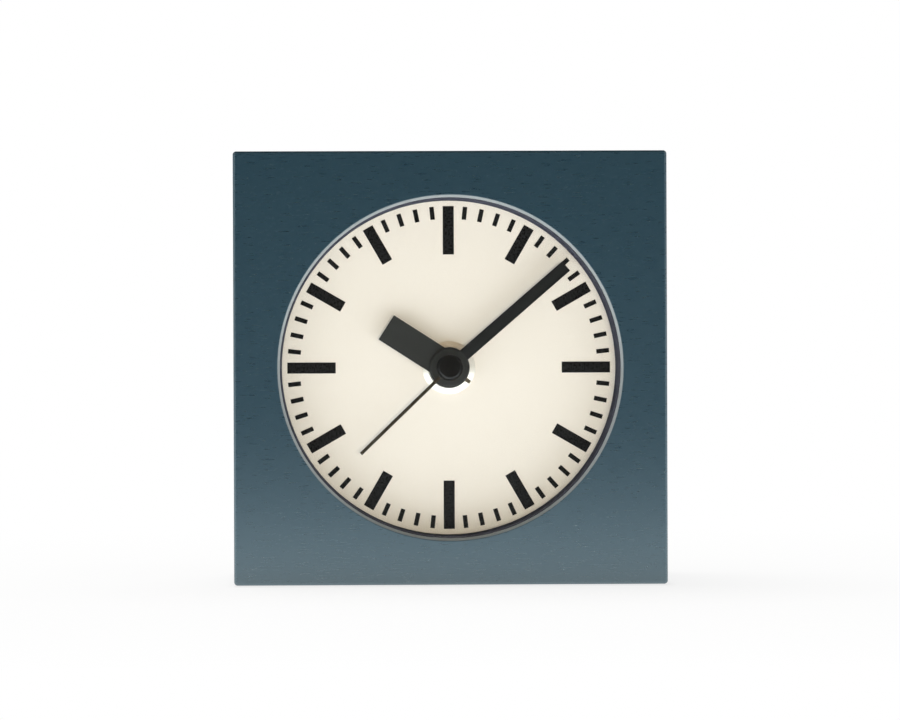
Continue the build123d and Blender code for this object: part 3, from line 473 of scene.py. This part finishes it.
class CLOCK_OT_case(bpy.types.Operator):
    """Dress the brushed case, its polished ring and its feet"""

    bl_idname = "clock.case"
    bl_label = "Case"

    def execute(self, context):
        finish = context.scene.clock_finish
        dress(self.brushed(finish), "case_shell")
        ring = grained(
            "polished_ring",
            finish.ring_colour,
            roughness=0.42,
            grain=even(0.8),
            amount=0.1,
            relief=0.001,
            metallic=0.75,
        )
        dress(ring, "bezel_ring")
        rubber = grained(
            "foot_rubber", finish.rubber_colour, roughness=0.7, grain=even(0.2), amount=0.3, relief=0.01
        )
        dress(rubber, "feet")
        return {"FINISHED"}

    def brushed(self, finish):
        """Dyed metal with level brush strokes, along the depth on the sides, and a dull bore painted dark as
        shade.
        """
        material, tree, shader, _ = new_material("brushed_case")
        coordinates = add_node(tree, "ShaderNodeTexCoord")
        facing = add_node(tree, "ShaderNodeSeparateXYZ", {"Vector": coordinates.outputs["Normal"]})
        sideways = maths(tree, "ABSOLUTE", facing.outputs["X"])
        along = add_node(
            tree,
            "ShaderNodeMix",
            {
                "Factor": sideways,
                "A": (BRUSH_LENGTH, BRUSH_WIDTH, BRUSH_WIDTH),
                "B": (BRUSH_WIDTH, BRUSH_LENGTH, BRUSH_WIDTH),
            },
            data_type="VECTOR",
        )
        place = coordinates.outputs["Object"]
        strokes = add_group(tree, grain_group(), {"Place": place, "Grain": along.outputs["Result"]})
        low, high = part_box("bezel_ring")
        # The bore round the glass takes the wall's dark colour, a painted shade for the recess; it is also
        # dulled and mirrors nothing.
        bore = near_axis(tree, place, (high.x - low.x) / 2)
        duller = maths(tree, "MAXIMUM", maths(tree, "MULTIPLY", bore, BORE_ROUGHNESS), finish.case_gloss)
        finish_by(
            tree,
            shader,
            strokes.outputs["Level"],
            mix_colours(tree, bore, finish.case_colour, finish.dark_wall_and_painted_shade),
            roughness=duller,
            amount=0.26,
            relief=0.0003,
            edge=0.25,
        )
        mirroring = maths(tree, "MULTIPLY_ADD", bore, -CASE_SPECULAR, CASE_SPECULAR)
        tree.links.new(mirroring, shader.inputs["Specular IOR Level"])
        shader.inputs["IOR"].default_value = CASE_IOR
        shader.inputs["Specular Tint"].default_value = rgba(finish.case_sheen)
        return material


class CLOCK_OT_glass(bpy.types.Operator):
    """Make the flat glass clear, for light too"""

    bl_idname = "clock.glass"
    bl_label = "Glass"

    def execute(self, context):
        material, tree, shader, output = new_material("clear_glass")
        shader.inputs["Base Color"].default_value = rgba(GLASS_COLOUR)
        shader.inputs["Transmission Weight"].default_value = 1.0
        shader.inputs["IOR"].default_value = GLASS_IOR
        shader.inputs["Roughness"].default_value = 0.0
        path = add_node(tree, "ShaderNodeLightPath")
        clear = add_node(tree, "ShaderNodeBsdfTransparent")
        unseen = maths(tree, "MAXIMUM", path.outputs["Is Shadow Ray"], path.outputs["Is Diffuse Ray"])
        mix_shaders(tree, output, unseen, shader.outputs["BSDF"], clear.outputs["BSDF"])
        dress(material, "front_glass")
        return {"FINISHED"}


class CLOCK_OT_dial(bpy.types.Operator):
    """Dress the dial, its bars, the wall round it, dark partly as painted shade, and the nut"""

    bl_idname = "clock.dial"
    bl_label = "Dial"

    def execute(self, context):
        finish = context.scene.clock_finish
        cream = grained(
            "dial_cream", finish.dial_colour, roughness=0.6, grain=even(0.22), amount=0.16, relief=0.004
        )
        dress(cream, "dial")
        ink = grained(
            "bar_ink",
            finish.ink_colour,
            roughness=0.35,
            grain=even(0.4),
            amount=2.0,
            relief=0.02,
            specular=0.15,
        )
        dress(ink, "dial_marks")
        # Dark wall, whose colour is partly painted shade of the recess.
        wall = grained(
            "dial_wall_painted_shade",
            finish.dark_wall_and_painted_shade,
            roughness=0.8,
            grain=even(1.0),
            amount=0.15,
            relief=0.001,
            specular=0.0,
        )
        dress(wall, "spacer_ring")
        nut = turned(
            "plated_nut",
            finish.nut_colour,
            roughness=0.3,
            offset=(0.0, 0.0, 0.0),
            pitch=0.18,
            amount=0.06,
            relief=0.0006,
        )
        dress(nut, "dial_nut")
        return {"FINISHED"}


class CLOCK_OT_hands(bpy.types.Operator):
    """Dress the four hands"""

    bl_idname = "clock.hands"
    bl_label = "Hands"

    def execute(self, context):
        finish = context.scene.clock_finish
        # Lighter black on the hour hand: painted sheen.
        satin = grained(
            "hour_hand_satin_painted_sheen",
            finish.black_with_painted_sheen,
            roughness=0.45,
            grain=even(0.18),
            amount=0.25,
            relief=0.003,
            edge=0.2,
        )
        dress(satin, "hour_hand")
        # The minute hand's hub takes the lighter black: painted sheen on the hub.
        minute = self.two_tone(
            "minute_hand_satin",
            finish.minute_colour,
            finish.black_with_painted_sheen,
            hub_radius=MINUTE_HUB_RADIUS,
            roughness=0.45,
            specular=0.5,
            edge=0.2,
        )
        dress(minute, "minute_hand")
        second = self.two_tone(
            "second_hand_lacquer",
            finish.second_colour,
            finish.cap_colour,
            hub_radius=CAP_RADIUS,
            roughness=0.16,
            specular=0.8,
            edge=0.35,
        )
        dress(second, "second_hand")
        bronze = grained(
            "hand_bronze",
            finish.bronze_colour,
            roughness=0.3,
            grain=even(0.4),
            amount=0.2,
            relief=0.002,
            metallic=1.0,
        )
        dress(bronze, "alarm_hand")
        return {"FINISHED"}

    def two_tone(self, name, blade_colour, hub_colour, hub_radius, roughness, specular, edge):
        """Lacquer whose hub round the dial's axis has a tone of its own."""
        material, tree, shader, _ = new_material(name)
        place = object_place(tree)
        hub = near_axis(tree, place, hub_radius)
        noise = add_group(tree, grain_group(), {"Place": place, "Grain": even(0.18)})
        finish_by(
            tree,
            shader,
            noise.outputs["Level"],
            mix_colours(tree, hub, blade_colour, hub_colour),
            roughness=roughness,
            amount=0.25,
            relief=0.002,
            edge=edge,
        )
        shader.inputs["Specular IOR Level"].default_value = specular
        return material


class CLOCK_OT_back(bpy.types.Operator):
    """Dress the back cover, its door, the knobs and the switch"""

    bl_idname = "clock.back"
    bl_label = "Back"

    def execute(self, context):
        finish = context.scene.clock_finish
        moulded = grained(
            "back_moulding",
            finish.moulding_colour,
            roughness=0.55,
            grain=even(0.35),
            amount=0.3,
            relief=0.02,
            edge=0.15,
        )
        dress(moulded, "back_cover", "battery_door", "buzzer", "dial_carrier")
        grip = grained(
            "knob_moulding",
            finish.moulding_colour,
            roughness=0.4,
            grain=even(0.5),
            amount=0.25,
            relief=0.008,
            edge=0.2,
        )
        dress(grip, "time_set_knob", "alarm_set_knob", "alarm_switch")
        return {"FINISHED"}


class CLOCK_OT_fasteners(bpy.types.Operator):
    """Dress the screws and the springs"""

    bl_idname = "clock.fasteners"
    bl_label = "Screws and springs"

    def execute(self, context):
        finish = context.scene.clock_finish
        screw_steel = turned(
            "screw_steel",
            finish.steel_colour,
            roughness=0.3,
            offset=(SCREW_OFFSET, 0.0, SCREW_OFFSET),
            pitch=0.22,
            amount=0.25,
            relief=0.0015,
        )
        dress(screw_steel, "cover_screws")
        spring_steel = grained(
            "spring_steel",
            finish.steel_colour,
            roughness=0.3,
            grain=(0.05 * MM, 0.4 * MM, 0.05 * MM),
            amount=0.2,
            relief=0.002,
            metallic=1.0,
        )
        dress(
            spring_steel,
            "carrier_screws",
            "movement_screws",
            "contact_positive",
            "contact_negative",
            "clutch_washer",
        )
        return {"FINISHED"}


class CLOCK_OT_movement(bpy.types.Operator):
    """Dress the movement's housing and its gears"""

    bl_idname = "clock.movement"
    bl_label = "Movement"

    def execute(self, context):
        finish = context.scene.clock_finish
        housing = grained(
            "housing_grey", finish.housing_colour, roughness=0.5, grain=even(0.4), amount=0.12, relief=0.01
        )
        dress(housing, "movement_front_plate", "movement_rear_cover")
        white = grained(
            "gear_white", finish.gear_colour, roughness=0.35, grain=even(0.6), amount=0.06, relief=0.004
        )
        dress(
            white,
            "alarm_wheel",
            "alarm_pinion",
            "hour_wheel",
            "minute_wheel",
            "centre_wheel",
            "third_wheel",
            "second_wheel",
            "intermediate_wheel",
            "rotor_pinion",
        )
        brass = turned(
            "pinion_brass",
            finish.brass_colour,
            roughness=0.28,
            offset=(0.0, 0.0, 0.0),
            pitch=0.15,
            amount=0.15,
            relief=0.001,
        )
        dress(brass, "cannon_pinion")
        return {"FINISHED"}


class CLOCK_OT_motor(bpy.types.Operator):
    """Dress the motor: stator, coil and magnet"""

    bl_idname = "clock.motor"
    bl_label = "Motor"

    def execute(self, context):
        finish = context.scene.clock_finish
        sheet_steel = grained(
            "sheet_steel",
            finish.steel_colour,
            roughness=0.35,
            grain=(0.06 * MM, 0.06 * MM, 0.9 * MM),
            amount=0.2,
            relief=0.002,
            metallic=1.0,
        )
        dress(sheet_steel, "stator", "coil_core")
        natural = grained(
            "bobbin_white", finish.gear_colour, roughness=0.45, grain=even(0.5), amount=0.08, relief=0.004
        )
        dress(natural, "coil_bobbin")
        magnet = grained(
            "magnet_grey", finish.magnet_colour, roughness=0.5, grain=even(0.2), amount=0.4, relief=0.004
        )
        dress(magnet, "rotor_magnet")
        dress(self.wire(finish), "coil_winding")
        return {"FINISHED"}

    def wire(self, finish):
        """Turns of lacquered wire side by side along the coil."""
        material, tree, shader, _ = new_material("coil_wire")
        place = add_node(tree, "ShaderNodeSeparateXYZ", {"Vector": object_place(tree)})
        turns = maths(tree, "DIVIDE", place.outputs["X"], WIRE_WIDTH)
        level = maths(tree, "ABSOLUTE", maths(tree, "SINE", maths(tree, "MULTIPLY", turns, math.pi)))
        finish_by(tree, shader, level, rgba(finish.copper_colour), roughness=0.3, amount=0.6, relief=0.06)
        shader.inputs["Metallic"].default_value = 1.0
        return material


class CLOCK_OT_circuit(bpy.types.Operator):
    """Dress the circuit board, its chip and its crystal"""

    bl_idname = "clock.circuit"
    bl_label = "Circuit"

    def execute(self, context):
        finish = context.scene.clock_finish
        dress(self.board(finish), "circuit_board")
        resin = grained(
            "chip_resin", finish.resin_colour, roughness=0.3, grain=even(0.3), amount=0.3, relief=0.01
        )
        dress(resin, "clock_chip")
        can = grained(
            "crystal_can",
            finish.steel_colour,
            roughness=0.22,
            grain=(1.5 * MM, 0.08 * MM, 0.08 * MM),
            amount=0.2,
            relief=0.001,
            metallic=1.0,
        )
        dress(can, "quartz_crystal")
        return {"FINISHED"}

    def board(self, finish):
        """Green solder mask over raised copper lines."""
        material, tree, shader, _ = new_material("board_green")
        flat = vectors(tree, "MULTIPLY", object_place(tree), ACROSS_DEPTH)
        turned_flat = add_node(
            tree, "ShaderNodeVectorRotate", {"Vector": flat, "Angle": QUARTER_TURN}, rotation_type="X_AXIS"
        )
        tracks = add_node(
            tree,
            "ShaderNodeTexBrick",
            {
                "Vector": turned_flat.outputs["Vector"],
                "Color1": rgba(finish.board_colour),
                "Color2": rgba(finish.board_colour),
                "Mortar": rgba(finish.trace_colour),
                "Scale": 1.0 / MM,
                "Mortar Size": BOARD_LINE / 2,
                "Mortar Smooth": 0.2,
                "Brick Width": BOARD_CELL[0],
                "Row Height": BOARD_CELL[1],
            },
        )
        level = tracks.outputs["Fac"]
        colour = tracks.outputs["Color"]
        finish_by(tree, shader, level, colour, roughness=0.35, amount=0.2, relief=0.03)
        return material


class CLOCK_OT_battery(bpy.types.Operator):
    """Dress the battery: steel ends, dark jacket and a pale band"""

    bl_idname = "clock.battery"
    bl_label = "Battery"

    def execute(self, context):
        finish = context.scene.clock_finish
        low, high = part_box("battery")
        length = high.x - low.x
        stops = (
            (0.0, finish.steel_colour, 1.0),
            (BATTERY_CRIMP / length, finish.jacket_colour, 0.0),
            (1.0 - (BATTERY_NUB + BATTERY_BAND) / length, finish.band_colour, 0.0),
            (1.0 - BATTERY_NUB / length, finish.steel_colour, 1.0),
        )
        material, tree, shader, _ = new_material("battery_foil")
        place = object_place(tree)
        across = add_node(tree, "ShaderNodeSeparateXYZ", {"Vector": place}).outputs["X"]
        share = add_node(
            tree, "ShaderNodeMapRange", {"Value": across, "From Min": low.x, "From Max": high.x}
        ).outputs["Result"]
        colours = self.bands(tree, share, [(stop, colour) for stop, colour, _ in stops])
        metal = self.bands(tree, share, [(stop, (shine,) * 3) for stop, _, shine in stops])
        noise = add_group(tree, grain_group(), {"Place": place, "Grain": even(0.5)})
        finish_by(tree, shader, noise.outputs["Level"], colours, roughness=0.3, amount=0.15, relief=0.003)
        tree.links.new(metal, shader.inputs["Metallic"])
        dress(material, "battery")
        return {"FINISHED"}

    def bands(self, tree, share, stops):
        """Colour that changes sharply at stops along a share."""
        ramp = add_node(tree, "ShaderNodeValToRGB", {"Fac": share})
        elements = ramp.color_ramp.elements
        ramp.color_ramp.interpolation = "CONSTANT"
        elements.remove(elements[1])
        elements[0].color = rgba(stops[0][1])
        for stop, colour in stops[1:]:
            elements.new(stop).color = rgba(colour)
        return ramp.outputs["Color"]


def seen_from_behind(x, z):
    """Place on the printed plane, for a drawing whose right hand is to the right as seen from behind."""
    return (-x, BACK_PLANE, z)


def arc(middle, radius, start, end, steps=ARC_STEPS):
    """Points of an arc on a drawing, from one angle to another."""
    angles = [start + (end - start) * step / steps for step in range(steps + 1)]
    return [(middle[0] + radius * math.cos(a), middle[1] + radius * math.sin(a)) for a in angles]


class CLOCK_OT_signs(bpy.types.Operator):
    """Print the words, arrows and pictures on the back cover"""

    bl_idname = "clock.signs"
    bl_label = "Signs on the back"

    def execute(self, context):
        signs = context.scene.clock_signs
        self.thickness = signs.print_thickness
        self.ink = grained(
            "back_print",
            context.scene.clock_finish.print_colour,
            roughness=0.5,
            grain=even(0.15),
            amount=0.25,
            relief=0.004,
        )
        self.switch_words(signs)
        for knob, heads, picture in (
            ("time_set_knob", (-1, 1), self.clock_picture),
            ("alarm_set_knob", (1,), self.bell_picture),
        ):
            low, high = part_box(knob)
            middle = (-(low.x + high.x) / 2, (low.z + high.z) / 2)
            inner = (high.x - low.x) / 2 + signs.arrow_gap
            self.turn_arrow(signs, f"arrow_{knob}", middle, inner, heads)
            rise = inner + signs.arrow_width + signs.picture_gap + signs.picture_size / 2
            picture(f"picture_{knob}", (middle[0], middle[1] + rise), signs.picture_size)
        return {"FINISHED"}

    def keep(self, made):
        """Lets a printed piece ride on the case."""
        bpy.context.scene.collection.objects.link(made)
        made.data.materials.append(self.ink)
        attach(made, "case")

    def printed(self, name, outlines):
        """Thin closed print of outlines drawn as seen from behind; outlines that share edges become one."""
        shape = bmesh.new()
        for outline in outlines:
            shape.faces.new([shape.verts.new(seen_from_behind(x, z)) for x, z in outline])
        bmesh.ops.remove_doubles(shape, verts=shape.verts, dist=WELD_DISTANCE)
        rim = [list(edge.verts) for edge in shape.edges if edge.is_boundary]
        lift = Vector((0.0, self.thickness, 0.0))
        raised = {corner: shape.verts.new(corner.co + lift) for corner in shape.verts[:]}
        for face in shape.faces[:]:
            shape.faces.new([raised[corner] for corner in face.verts])
        for first, second in rim:
            shape.faces.new([first, second, raised[second], raised[first]])
        bmesh.ops.recalc_face_normals(shape, faces=shape.faces)
        mesh = bpy.data.meshes.new(name)
        shape.to_mesh(mesh)
        shape.free()
        self.keep(bpy.data.objects.new(name, mesh))

    def word(self, name, text, place, height, align):
        """Printed word whose middle line runs through a place."""
        letters = bpy.data.curves.new(name, "FONT")
        letters.body = text
        letters.size = height / CAPITAL_SHARE
        letters.extrude = self.thickness / 2
        letters.align_x = align
        letters.offset_y = -height / 2
        outline = bpy.data.objects.new(name + "_curve", letters)
        mesh = bpy.data.meshes.new_from_object(outline)
        bpy.data.objects.remove(outline)
        behind = Matrix(((-1, 0, 0), (0, 0, 1), (0, 1, 0))).to_4x4()
        lift = Vector((0.0, self.thickness / 2, 0.0))
        mesh.transform(Matrix.Translation(Vector(seen_from_behind(*place)) + lift) @ behind)
        mesh.materials.clear()
        mesh.name = name
        self.keep(bpy.data.objects.new(name, mesh))

    def switch_words(self, signs):
        """Words at both ends of the alarm switch, and a bell above it."""
        low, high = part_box("alarm_switch")
        slide = next(joint for joint in frame["joints"] if joint["name"] == "alarm_switch_slide")
        reach = high.x + max(slide["range_m"])
        level = (low.z + high.z) / 2
        self.word("word_on", "ON", (-reach - signs.letter_gap, level), signs.letter_height, "RIGHT")
        self.word("word_off", "OFF", (-low.x + signs.letter_gap, level), signs.letter_height, "LEFT")
        rise = high.z + signs.picture_gap + signs.picture_size / 2
        self.bell_picture("picture_alarm_switch", (-(low.x + reach) / 2, rise), signs.picture_size)

    def turn_arrow(self, signs, name, middle, inner, heads):
        """Bent arrow over a knob, with a head at each end that is asked for."""
        outer = inner + signs.arrow_width
        flare = signs.arrow_width
        mean = (inner + outer) / 2
        start = QUARTER_TURN - signs.arrow_sweep / 2
        end = QUARTER_TURN + signs.arrow_sweep / 2
        outline = arc(middle, inner, start, end)
        if 1 in heads:
            outline += self.head(middle, inner - flare, mean, outer + flare, end, signs.arrow_head)
        outline += arc(middle, outer, end, start)
        if -1 in heads:
            outline += self.head(middle, outer + flare, mean, inner - flare, start, -signs.arrow_head)
        self.printed(name, [outline])

    def head(self, middle, first, tip, last, angle, length):
        """Three corners of an arrow's head at an angle round a middle."""
        beyond = angle + length / tip
        turns = ((first, angle), (tip, beyond), (last, angle))
        return [(middle[0] + r * math.cos(a), middle[1] + r * math.sin(a)) for r, a in turns]

    def clock_picture(self, name, middle, size):
        """Round clock with two hands."""
        line = size * PICTURE_LINE
        outside = arc(middle, size / 2, 0.0, math.tau, RING_STEPS)
        inside = arc(middle, size / 2 - line, 0.0, math.tau, RING_STEPS)
        outlines = [
            [outside[step], outside[step + 1], inside[step + 1], inside[step]] for step in range(RING_STEPS)
        ]
        half = line / 2
        short = size * PICTURE_HOUR_HAND
        tall = size * PICTURE_MINUTE_HAND
        hands = (
            (-half, -half), (short, -half), (short, half), (half, half), (half, tall), (-half, tall)
        )
        outlines.append([(middle[0] + x, middle[1] + z) for x, z in hands])
        self.printed(name, outlines)

    def bell_picture(self, name, middle, size):
        """Bell with its clapper below."""
        left_side = [(-x, z) for x, z in reversed(BELL_SIDE[1:])]
        bell = [(middle[0] + x * size, middle[1] + z * size) for x, z in (*BELL_SIDE, *left_side)]
        hinge = (middle[0], middle[1] + CLAPPER_TOP * size)
        clapper = arc(hinge, CLAPPER_RADIUS * size, math.pi, math.tau, CLAPPER_STEPS)
        self.printed(name, [bell, clapper])


def area_lamp(name, place, target, size, power, colour=WHITE):
    """Soft rectangular lamp that faces a target, and that neither the camera nor a mirror shows."""
    data = bpy.data.lights.new(name, "AREA")
    data.shape = "RECTANGLE"
    data.size, data.size_y = size
    data.energy = power
    data.color = colour
    lamp = bpy.data.objects.new(name, data)
    lamp.location = place
    lamp.rotation_euler = (Vector(target) - Vector(place)).to_track_quat("-Z", "Y").to_euler()
    lamp.visible_camera = False
    lamp.visible_glossy = False
    bpy.context.scene.collection.objects.link(lamp)
    return lamp


def sheet(name, low, high, material):
    """Flat stage piece between two corners that share one coordinate."""
    level = next(axis for axis in range(3) if low[axis] == high[axis])
    first, second = [axis for axis in range(3) if axis != level]
    corners = []
    for at_first, at_second in ((low, low), (high, low), (high, high), (low, high)):
        corner = list(low)
        corner[first] = at_first[first]
        corner[second] = at_second[second]
        corners.append(corner)
    mesh = bpy.data.meshes.new(name)
    mesh.from_pydata(corners, [], [range(len(corners))])
    mesh.materials.append(material)
    made = bpy.data.objects.new(name, mesh)
    bpy.context.scene.collection.objects.link(made)
    return made


def shown_directly(tree):
    """One for what the camera sees straight, in mirrors or through glass, and nought for other light."""
    path = add_node(tree, "ShaderNodeLightPath")
    seen = maths(tree, "MAXIMUM", path.outputs["Is Camera Ray"], path.outputs["Is Glossy Ray"])
    return maths(tree, "MAXIMUM", seen, path.outputs["Is Transmission Ray"])


class CLOCK_OT_stage(bpy.types.Operator):
    """Set up the floor, the light and the camera"""

    bl_idname = "clock.stage"
    bl_label = "Stage"

    def execute(self, context):
        stage = context.scene.clock_stage
        front = CAD_BOX[0].y
        context.scene.view_settings.view_transform = "Standard"
        sheet(
            "floor",
            (-FLOOR_SIDE, front - FLOOR_FRONT, 0.0),
            (FLOOR_SIDE, FLOOR_BACK, 0.0),
            self.paper(stage),
        )
        self.surroundings(context, stage)
        self.cards(stage)
        self.lamps(stage, front)
        self.camera(context, stage, front)
        return {"FINISHED"}

    def paper(self, stage):
        """Matt white paper that keeps the clock's shadow and fades to plain white away from it."""
        material = grained(
            "floor_paper", stage.floor_colour, roughness=0.9, grain=even(4.0), amount=0.01, relief=0.002
        )
        tree = material.node_tree
        output = tree.nodes["Material Output"]
        shader = tree.nodes["Principled BSDF"]
        span = vectors(tree, "ABSOLUTE", object_place(tree))
        past = vectors(tree, "SUBTRACT", span, (CAD_BOX[1].x, CAD_BOX[1].y, 0.0))
        outside = vectors(tree, "MAXIMUM", past)
        reach = maths(tree, "DIVIDE", distance(tree, outside), SHADOW_REACH)
        faded = add_node(tree, "ShaderNodeValToRGB", {"Fac": reach})
        ramp = faded.color_ramp
        ramp.elements[0].color = rgba((NEAR_WHITE,) * 3)
        for stop, white_share in FAR_WHITE:
            ramp.elements.new(stop).color = rgba((white_share,) * 3)
        share = maths(tree, "MULTIPLY", faded.outputs["Color"], shown_directly(tree))
        white = add_node(tree, "ShaderNodeEmission", {"Color": rgba(WHITE), "Strength": 1.0})
        mix_shaders(tree, output, share, shader.outputs["BSDF"], white.outputs["Emission"])
        return material

    def surroundings(self, context, stage):
        """White world for the camera and for mirrors, and a faint light for the rest."""
        world = bpy.data.worlds.new("studio")
        world.use_nodes = True
        tree = world.node_tree
        tree.nodes.clear()
        output = tree.nodes.new("ShaderNodeOutputWorld")
        white = add_node(tree, "ShaderNodeBackground", {"Color": rgba(WHITE), "Strength": 1.0})
        fill = add_node(
            tree,
            "ShaderNodeBackground",
            {"Color": rgba(stage.fill_colour), "Strength": stage.fill_strength},
        )
        shown = shown_directly(tree)
        mix_shaders(tree, output, shown, fill.outputs["Background"], white.outputs["Background"])
        context.scene.world = world

    def cards(self, stage):
        """Walls that only mirrors show: dark ahead and above, warm over the camera, pale and grey beside."""
        left, right = -STUDIO_SIDE, STUDIO_SIDE
        warm = stage.warm_tone
        dark, grey, pale = [(tone,) * 3 for tone in (stage.dark_tone, stage.grey_tone, stage.pale_tone)]
        for name, tone, low, high in (
            ("front_flag", dark, (left, STUDIO_FRONT, STUDIO_LOW), (right, STUDIO_FRONT, STUDIO_TOP)),
            ("warm_card", warm, (left, STUDIO_FRONT, STUDIO_TOP), (right, STUDIO_WARM, STUDIO_TOP)),
            ("top_flag", dark, (left, STUDIO_WARM, STUDIO_TOP), (right, STUDIO_BACK, STUDIO_TOP)),
            ("left_card", pale, (left, STUDIO_FRONT, STUDIO_LOW), (left, STUDIO_MIDDLE, STUDIO_TOP)),
            ("left_flag", grey, (left, STUDIO_MIDDLE, STUDIO_LOW), (left, STUDIO_BACK, STUDIO_TOP)),
            ("right_card", pale, (right, STUDIO_FRONT, STUDIO_LOW), (right, STUDIO_MIDDLE, STUDIO_TOP)),
            ("right_flag", grey, (right, STUDIO_MIDDLE, STUDIO_LOW), (right, STUDIO_BACK, STUDIO_TOP)),
        ):
            material, tree, shader, output = new_material(name)
            glow = add_node(tree, "ShaderNodeEmission", {"Color": rgba(tone), "Strength": 1.0})
            tree.links.new(glow.outputs["Emission"], output.inputs["Surface"])
            tree.nodes.remove(shader)
            card = sheet(name, low, high, material)
            card.visible_camera = False
            card.visible_diffuse = False
            card.visible_shadow = False

    def lamps(self, stage, front):
        """Light thrown up by the table, light from behind the camera and light from above."""
        table_y = front - TABLE_LAMP_AHEAD
        area_lamp(
            "table_glow",
            (TABLE_LAMP_X, table_y, TABLE_LAMP_LIFT),
            (TABLE_LAMP_X, table_y, STUDIO_TOP),
            TABLE_LAMP_SIZE,
            stage.table_power,
            stage.table_colour,
        )
        front_lamp = area_lamp(
            "front_fill", FRONT_LAMP, DIAL_AXIS, FRONT_LAMP_SIZE, stage.front_power, stage.front_colour
        )
        front_lamp.visible_transmission = False
        area_lamp("overhead", OVERHEAD_LAMP, OVERHEAD_TARGET, OVERHEAD_SIZE, stage.overhead_power)

    def camera(self, context, stage, front):
        """Camera whose picture has the middle of the clock's face at its pixel."""
        data = bpy.data.cameras.new("camera")
        data.sensor_fit = "HORIZONTAL"
        focal_px = stage.face_width_px * stage.camera_distance / (CAD_BOX[1].x - CAD_BOX[0].x)
        data.lens = focal_px * data.sensor_width / IMAGE_WIDTH
        camera = bpy.data.objects.new("camera", data)
        camera.location = (stage.camera_offset, front - stage.camera_distance, stage.camera_rise)
        turn = Euler((QUARTER_TURN - stage.camera_dip, stage.camera_roll, -stage.camera_yaw), "XYZ")
        camera.rotation_euler = turn
        face = Vector((0.0, front, (CAD_BOX[0].z + CAD_BOX[1].z) / 2))
        seen = turn.to_matrix().transposed() @ (face - camera.location)
        data.shift_x = 0.5 + (-focal_px * seen.x / seen.z - stage.face_x_px) / IMAGE_WIDTH
        data.shift_y = (stage.face_y_px - IMAGE_HEIGHT / 2 - focal_px * seen.y / seen.z) / IMAGE_WIDTH
        context.scene.collection.objects.link(camera)
        context.scene.camera = camera


STEPS = (
    CLOCK_OT_case,
    CLOCK_OT_glass,
    CLOCK_OT_dial,
    CLOCK_OT_hands,
    CLOCK_OT_back,
    CLOCK_OT_fasteners,
    CLOCK_OT_movement,
    CLOCK_OT_motor,
    CLOCK_OT_circuit,
    CLOCK_OT_battery,
    CLOCK_OT_signs,
    CLOCK_OT_stage,
)
GROUPS = {"clock_finish": ClockFinish, "clock_signs": ClockSigns, "clock_stage": ClockStage}


class CLOCK_PT_sidebar(bpy.types.Panel):
    """Steps, colours and sizes of the clock"""

    bl_idname = "CLOCK_PT_sidebar"
    bl_label = "Table clock"
    bl_space_type = "VIEW_3D"
    bl_region_type = "UI"
    bl_category = "Clock"

    def draw(self, context):
        for step in STEPS:
            self.layout.operator(step.bl_idname)
        for group in GROUPS:
            values = getattr(context.scene, group)
            for name in values.bl_rna.properties.keys():
                if name not in ("name", "rna_type"):
                    self.layout.prop(values, name)


CLASSES = (*GROUPS.values(), *STEPS, CLOCK_PT_sidebar)


def register():
    for made in CLASSES:
        bpy.utils.register_class(made)
    for name, group in GROUPS.items():
        setattr(bpy.types.Scene, name, bpy.props.PointerProperty(type=group))


def unregister():
    for name in GROUPS:
        delattr(bpy.types.Scene, name)
    for made in reversed(CLASSES):
        bpy.utils.unregister_class(made)


def main():
    register()
    for step in STEPS:
        area, action = step.bl_idname.split(".")
        getattr(getattr(bpy.ops, area), action)()


if __name__ == "__main__":
    main()
